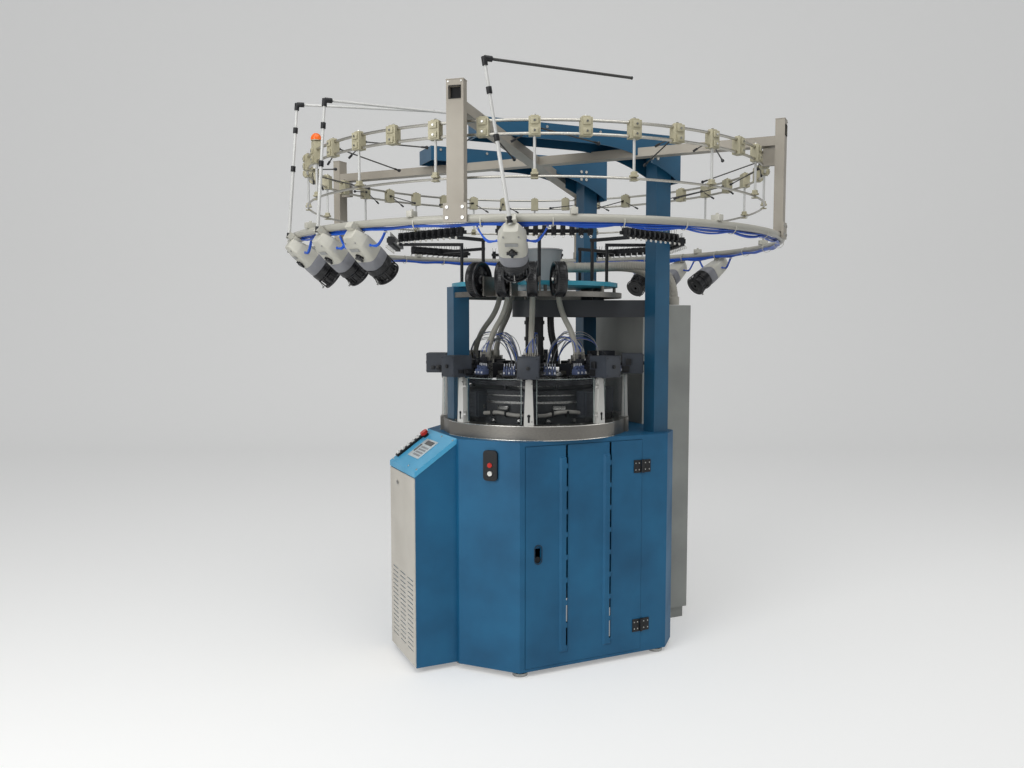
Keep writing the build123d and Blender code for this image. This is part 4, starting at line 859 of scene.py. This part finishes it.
# Yarn rails: drawn aluminium tubes round the top, joined by ivory nylon clamps. Hanging rods
# carry a lower rail, and slanted rods with black hooks lead the yarns inwards.
rail_metal = worked_metal("drawn_aluminium_tube", "#a9a69e", "#c9c6bd", 0.3, (3, 3, 3))
rail_r = 1.09
rail_tubes = ((2.305, 0.006), (2.355, 0.006), (2.15, 0.005))
made = built("yarn_rail_tubes", rail_metal,
             lathes=[(tube_section(rail_r, z, tube, 8), Matrix(), 180) for z, tube in rail_tubes])
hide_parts("yarn_rails")
ivory_nylon = moulded("ivory_moulded_nylon", "#a8a287", "#b8b298", 0.5)
finish(ivory_nylon, "rail_clamps")
first_clamp = -176
lower_clamps, upper_clamps = (18, first_clamp), (36, first_clamp)
built("lower_rail_clamps", ivory_nylon, [
    ((1.076, -0.014, 2.141), (1.104, 0.014, 2.1445)), ((1.076, -0.014, 2.1555), (1.104, 0.014, 2.164)),
    ((1.08, -0.01, 2.164), (1.1, 0.01, 2.176))], bevel=0.002, ring=lower_clamps)
built("clamp_jaws", ivory_nylon, [
    ((1.1085, -0.015, 2.3), (1.1135, 0.015, 2.324)), ((1.1085, -0.015, 2.336), (1.1135, 0.015, 2.36)),
    ((1.0785, -0.015, 2.364), (1.1015, 0.015, 2.37))], bevel=0.002, ring=upper_clamps)
built("clamp_screws", ground_steel, bars=[
    across(1.1134, 1.1162, 0, 2.312, 0.0042, 12), across(1.1134, 1.1162, 0, 2.348, 0.0042, 12),
    upright(rail_r, 0, 2.37, 2.3745, 0.005, 6)], ring=upper_clamps)
white_tube = coated_steel("white_enamelled_tube", "#bdbdba", "#cfcfcc", 0.3)
built("rail_hangers", white_tube, bars=[upright(rail_r, 0, 2.1553, 2.2987, 0.0053, 16)], ring=lower_clamps)
# Black paint for the guide rods; on the front pole's arm the same dark paint is painted shade.
dark_rod = coated_steel("black_enamelled_rod", "#2c2b29", "#3b3a37", 0.4)
bead = [(0, -0.0075), (0.0055, -0.0052), (0.0076, 0), (0.0055, 0.0052), (0, 0.0075)]
for name, first, ends in (("inner", -166, (0.81, 0.06, 2.262)), ("outer", -156, (0.95, 0.245, 2.296))):
    start, end = Vector((1.074, 0.009, 2.331)), Vector(ends)
    ahead = (end - start).normalized()
    built(f"{name}_guide_rods", dark_rod, ring=(9, first, 40), bars=[
        (start, end, 0.0028, 10), ((1.071, -0.012, 2.32), (1.071, -0.075, 2.286), 0.0024, 10)])
    built(f"{name}_guide_hooks", black_nylon, ring=(9, first, 40), lathes=[(bead, at(*end), 14)], bars=[
        (start - ahead * 0.004, start + ahead * 0.012, 0.0062, 12), (end - ahead * 0.022, end, 0.0042, 12),
        ((1.071, -0.07, 2.289), (1.071, -0.088, 2.279), 0.0048, 12)])

# Guide poles: white telescopic tubes on three feeders, each with black clamping joints where one
# tube slides into the next, and a black elbow that holds a level arm out over the rails.
tubes, joints, shaded_front_arm, eyelets = [], [], [], []
joint_r, joint_length, pole_seat = 0.0102, 0.024, 0.0003
for turn, length, lean, heading, reach in ((-177, 0.586, 4.5, -12.7, 0.587), (-162, 0.54, 4.0, 0.0, 0.606),
                                           (-120, 0.58, -10.0, 0.0, 0.6)):
    place = feeder_place(turn)
    foot = place @ Vector((0, feeder_reach, -0.012))
    a, b = math.radians(lean), math.radians(heading)
    pole = Vector((math.sin(a), 0, math.cos(a)))
    rise = -pole.dot((place.to_3x3() @ Vector((0, 0, 1))).normalized())
    slant = math.sqrt(1 - rise * rise)
    middle = 0.52 * length
    tubes += [(foot + pole * low, foot + pole * high, radius, 16)
              for low, high, radius in (((pole_seat + 0.007 * slant) / rise, middle + 0.01, 0.0072),
                                        (middle + 0.01, length, 0.006))]
    joints += [(foot + pole * low, foot + pole * (low + joint_length), joint_r, 16)
               for low in ((pole_seat + 0.01 * slant) / rise + 0.002, middle, 0.8 * length)]
    joints.append((foot + pole * (length - 0.02), foot + pole * (length + 0.0105), joint_r, 16))
    top = foot + pole * (length + 0.005)
    level = Vector((math.cos(b), math.sin(b), 0))
    joints.append((top, top + level * 0.03, joint_r, 16))
    # The front pole's arm is drawn dark as painted shade; the other arms are white tube.
    (shaded_front_arm if turn == -120 else tubes).append((top, top + level * reach, 0.0052, 14))
    eyelets.append((collar(0.0028, 0.0062, -0.001, 0.004), at(*(top + level * reach)) @ facing(level), 14))
built("telescopic_pole_tubes", white_tube, bars=tubes)
built("front_pole_arm", dark_rod, bars=shaded_front_arm)
built("telescopic_pole_joints", black_abs, bars=joints, lathes=eyelets, bevel=0.001)

# Frame posts: beige enamelled box section on the ring tube, with a cap, two screws a side at the foot and two
# at the head, and a square black window with a raised rim near the head, whose open hole is a black plate of
# painted shade.
windows = [((1.1762, -0.0195, 2.4205), (1.1775, 0.0195, 2.4595)),
           ((1.19, -0.0235, 2.4165), (1.1925, 0.0235, 2.4195)),
           ((1.19, -0.0235, 2.4605), (1.1925, 0.0235, 2.4635)),
           ((1.19, -0.0235, 2.4195), (1.1925, -0.0205, 2.4605)),
           ((1.19, 0.0205, 2.4195), (1.1925, 0.0235, 2.4605))]
screws = [across(1.1959, 1.1995, y, z, 0.006, 16) for y in (-0.03, 0.03) for z in (1.992, 2.03)]
screws += [across(1.1899, 1.1925, y, 2.478, 0.003, 12) for y in (-0.025, 0.025)]
for end, first in (("front", -130), ("rear", 50)):
    posts = (2, first, 80)
    built(f"post_windows_{end}", hole_shade, windows, ring=posts)
    built(f"post_screws_{end}", ground_steel, bars=screws, ring=posts)
    built(f"post_caps_{end}", post_beige, [((1.1485, -0.0345, 2.4841), (1.1915, 0.0345, 2.4875))],
          bevel=0.0012, ring=posts)

# Beacon: a small orange dome, moulded with fine ribs, on a black neck over the first clamp's
# ivory block.
orange_lens = surface("orange_moulded_lens", ("#d4561c", "#e87228"), 30, Roughness=0.22, IOR=1.49,
                      Emission_Color=linear("#e8641a"), Emission_Strength=0.15)
place = turned(first_clamp) @ at(rail_r, 0, 0)
lens_r, dome_z = 0.0224, 2.404
dome = tube_section(0, dome_z, lens_r, 36)[:9]
built("beacon_lens", orange_lens,
      bars=[polar_bar(place, 15 * n, (0.0222, 2.3975), (0.0222, 2.4065), 0.001, 6) for n in range(24)],
      lathes=[([(0, 2.3957), (0.0216, 2.3957), (lens_r, 2.3966), *dome, (0, dome_z + lens_r)], place, 40)])
neck = [(0, 2.3902), (0.015, 2.3902), (0.015, 2.3925), (0.0126, 2.394), (0.0126, 2.3956), (0, 2.3956)]
built("beacon_neck", black_abs, lathes=[(neck, place, 32)])

# Console: a folded teal housing with a beige louvred front and a light-blue sloping cover, which
# carries a membrane keypad, five white keys on a black strip and a red emergency stop.
light_blue = coated_steel("light_blue_enamel", "#449fc8", "#55b1da", 0.36)
finish(light_blue, "console_cover")
panel_beige = coated_steel("beige_enamelled_panel", "#c6c1b7", "#d3cec4", 0.5)
finish(panel_beige, "console_front_panel")
bright_white = moulded("white_moulded_abs", "#dddcd6", "#ebeae5", 0.35)
finish(bright_white, "white_button", *[f"white_key_{n}" for n in range(1, 6)])
red_abs = moulded("red_moulded_abs", "#b8231c", "#cf3323", 0.3)
finish(red_abs, "emergency_stop", "red_button")
cover_run, cover_rise = 0.694 - 0.49, 1.078 - 0.935
cover = at(-0.694, 0, 0.935) @ Matrix.Rotation(-math.atan2(cover_rise, cover_run), 4, "Y")
membrane = moulded("pale_printed_membrane", "#b9c4c6", "#c9d2d3", 0.35)
built("keypad_membrane", membrane, [((0.068, -0.077, 0.0002), (0.192, 0.077, 0.004), cover)], bevel=0.0012)
keys = [(0.08 + 0.017 * row, -0.064 + 0.0165 * column) for row in range(4) for column in range(6)]
built("keypad_keys", cap_grey, [((x, y, 0.004), (x + 0.011, y + 0.011, 0.0048), cover) for x, y in keys],
      bevel=0.0006)
glass = surface("smoked_display_glass", ("#10181a", "#1a2426"), 20, Roughness=0.12, IOR=1.5)
built("display_windows", glass, [((0.156, -0.06, 0.004), (0.182, 0.038, 0.0047), cover),
                                 ((0.1, 0.05, 0.004), (0.15, 0.068, 0.0047), cover)])
screw_head = [(0, 0.0001), (0.0055, 0.0001), (0.004, 0.0022), (0, 0.0026)]
built("console_cover_screws", ground_steel, lathes=[(screw_head, cover @ at(x, y, 0), 20) for x, y in (
    (0.018, -0.178), (0.018, 0.178), (0.232, -0.178), (0.232, 0.178), (0.018, -0.06), (0.232, -0.03))])
key_cap = [(0, 0.0158), (0.0074, 0.0158), (0.0074, 0.0215), (0.0054, 0.0248), (0, 0.0258)]
for n in range(1, 6):
    built(f"white_key_cap_{n}", bright_white, lathes=[(key_cap, cover @ at(0.021 + 0.03 * n, 0.162, 0), 24)],
          body=f"white_key_{n}")
built("key_strip_end", black_abs, [((0.188, 0.148, 0.0002), (0.198, 0.176, 0.0105), cover)], bevel=0.002)
lock = at(-0.6965, 0.06, 0.8496) @ Matrix.Rotation(-math.pi / 2, 4, "Y")
built("console_lock_ring", ground_steel,
      lathes=[([(0, 0), (0.0105, 0), (0.0105, 0.0015), (0.008, 0.0028), (0, 0.0028)], lock, 24)])
# The lock's slot is a black plate of painted shade.
built("console_lock_slot", hole_shade, [((-0.7, 0.059, 0.844), (-0.699, 0.061, 0.8552))])

# Door pull: an oval grip recessed in the pressed door, with a black plate of painted shade inside it and a
# moulded black lip round it. The door's ribs and slots are in its sheet.
built("door_pull_shadow", hole_shade, [((-0.2095, -0.431, 0.5375), (-0.1795, -0.4295, 0.5885))],
      [((-0.1945, -0.4385, 0.5375), (-0.1945, -0.43, 0.5375), 0.015, 24)], body="front_door")
lip_r, lip_half, lip_face = 0.0185, 0.0255, -0.4428
outline = []
for n in range(24):
    c, s = math.cos(2 * math.pi * n / 24), math.sin(2 * math.pi * n / 24)
    outline.append(Vector((-0.194 + lip_r * c, lip_face, 0.563 + lip_r * s + math.copysign(lip_half, s))))
lip = [(start, end, 0.0016, 8) for start, end in zip(outline, outline[1:] + outline[:1])]
built("door_pull_lip", black_abs, bars=lip, body="front_door")

# Electrical cabinet: a grey enamelled sheet locker behind the machine, with a flush door, louvres,
# a rotary switch and a swing handle. The motor has the same grey, and its belt is black rubber.
locker_grey = coated_steel("grey_enamelled_locker", "#8e908c", "#a0a29d", 0.5)
finish(locker_grey, "electrical_cabinet", "drive_motor")
belt_rubber = moulded("black_belt_rubber", "#141414", "#1e1e1e", 0.7)
finish(belt_rubber, "drive_belt")
built("locker_door_panel", locker_grey, [((0.9, -0.045, 0.085), (0.9035, 0.425, 1.68))], bevel=0.0015)
built("locker_louvres", locker_grey, [((0.9034, 0.11, 0.2), (0.9075, 0.27, 0.208))], bevel=0.0015,
      ring=(14, 0, 0, (0, 0, 0.022)))
built("locker_fittings", black_abs, [((0.9034, -0.03, 0.82), (0.909, -0.006, 0.96)),
                                     ((0.913, 0.182, 1.296), (0.922, 0.198, 1.344))],
      [across(0.9034, 0.913, 0.19, 1.32, 0.03, 32)]
      + [upright(0.906, 0.431, z, z + 0.07, 0.006, 12) for z in (0.2, 0.85, 1.56)], bevel=0.0015)

# Studio: a matt pale floor that runs up into a pale backdrop, three soft lamps, a pale world and
# the camera. The floor and the world look paler to the camera than they light the machine.
reach, half_width, bend, height, bend_steps = 9.0, 26, 2.5, 7.0, 12
rows = [(-reach, 0.0), (reach - bend, 0.0)]
for n in range(1, bend_steps + 1):
    a = math.pi / 2 * n / bend_steps
    rows.append((reach - bend + bend * math.sin(a), bend - bend * math.cos(a)))
rows.append((reach, height))
turn = turned(-24)
corners = [turn @ Vector((x, y, z - 0.0005)) for y, z in rows for x in (-half_width, half_width)]
data = bpy.data.meshes.new("studio_floor")
data.from_pydata(corners, [], [(2 * n, 2 * n + 1, 2 * n + 3, 2 * n + 2) for n in range(len(rows) - 1)])
floor = linked("studio_floor", data)
smooth(data)
floor_paint = bare_material("matt_pale_paint")
tree = floor_paint.node_tree
paint = node(tree, "BsdfDiffuse", Color=linear("#dededc"))
seen = node(tree, "LightPath")
straight = node(tree, "Math", {0: (seen, "Is Camera Ray"), 1: (seen, "Is Glossy Ray")}, operation="MAXIMUM")
strength = node(tree, "Math", {0: (straight, "Value"), 1: 0.3}, operation="MULTIPLY")
lift = node(tree, "Emission", {"Strength": (strength, "Value")}, Color=linear("#ffffff"))
both = node(tree, "AddShader", {0: (paint, "BSDF"), 1: (lift, "Emission")})
node(tree, "OutputMaterial", {"Surface": (both, "Shader")})
data.materials.append(floor_paint)


def look(made, place, direction):
    """Sets a lamp or the camera at a place, looking along a direction."""
    made.location = place
    made.rotation_mode = "QUATERNION"
    made.rotation_quaternion = direction.to_track_quat("-Z", "Y")


for name, size, watts, place, aim in (
        ("overhead_softbox", (5.0, 4.0), 112, (-0.8, -1.8, 5.2), (0, 0, 1.0)),
        ("left_softbox", (3.0, 3.0), 118, (-4.6, -2.6, 2.8), (0, 0, 1.1)),
        ("right_softbox", (2.5, 3.0), 26, (4.4, -3.4, 2.6), (0, 0, 1.1))):
    light = bpy.data.lights.new(name, "AREA")
    light.shape = "RECTANGLE"
    light.size, light.size_y = size
    light.energy = watts
    look(linked(name, light), place, Vector(aim) - Vector(place))

world = bpy.data.worlds.new("studio_world")
world.use_nodes = True
tree = world.node_tree
sky = tree.nodes["Background"]
sky.inputs["Color"].default_value = linear("#eef0f2")
seen = node(tree, "LightPath")
straight = node(tree, "Math", {0: (seen, "Is Camera Ray"), 1: (seen, "Is Transmission Ray")},
                operation="MAXIMUM")
level = node(tree, "MapRange", {"Value": (straight, "Value")}, To_Min=0.36, To_Max=0.72)
tree.links.new(level.outputs["Result"], sky.inputs["Strength"])
scene.world = world

lens = bpy.data.cameras.new("camera")
lens.sensor_width = 36
lens.lens = 30.5
lens.clip_end = 100
camera = linked("camera", lens)
yaw, pitch = math.radians(24.5), math.radians(-4.2)
sight = Vector((math.sin(yaw) * math.cos(pitch), math.cos(yaw) * math.cos(pitch), math.sin(pitch)))
look(camera, (-1.9, -3.9, 1.62), sight)
scene.camera = camera
scene.view_settings.view_transform = "Standard"

bpy.context.view_layer.update()
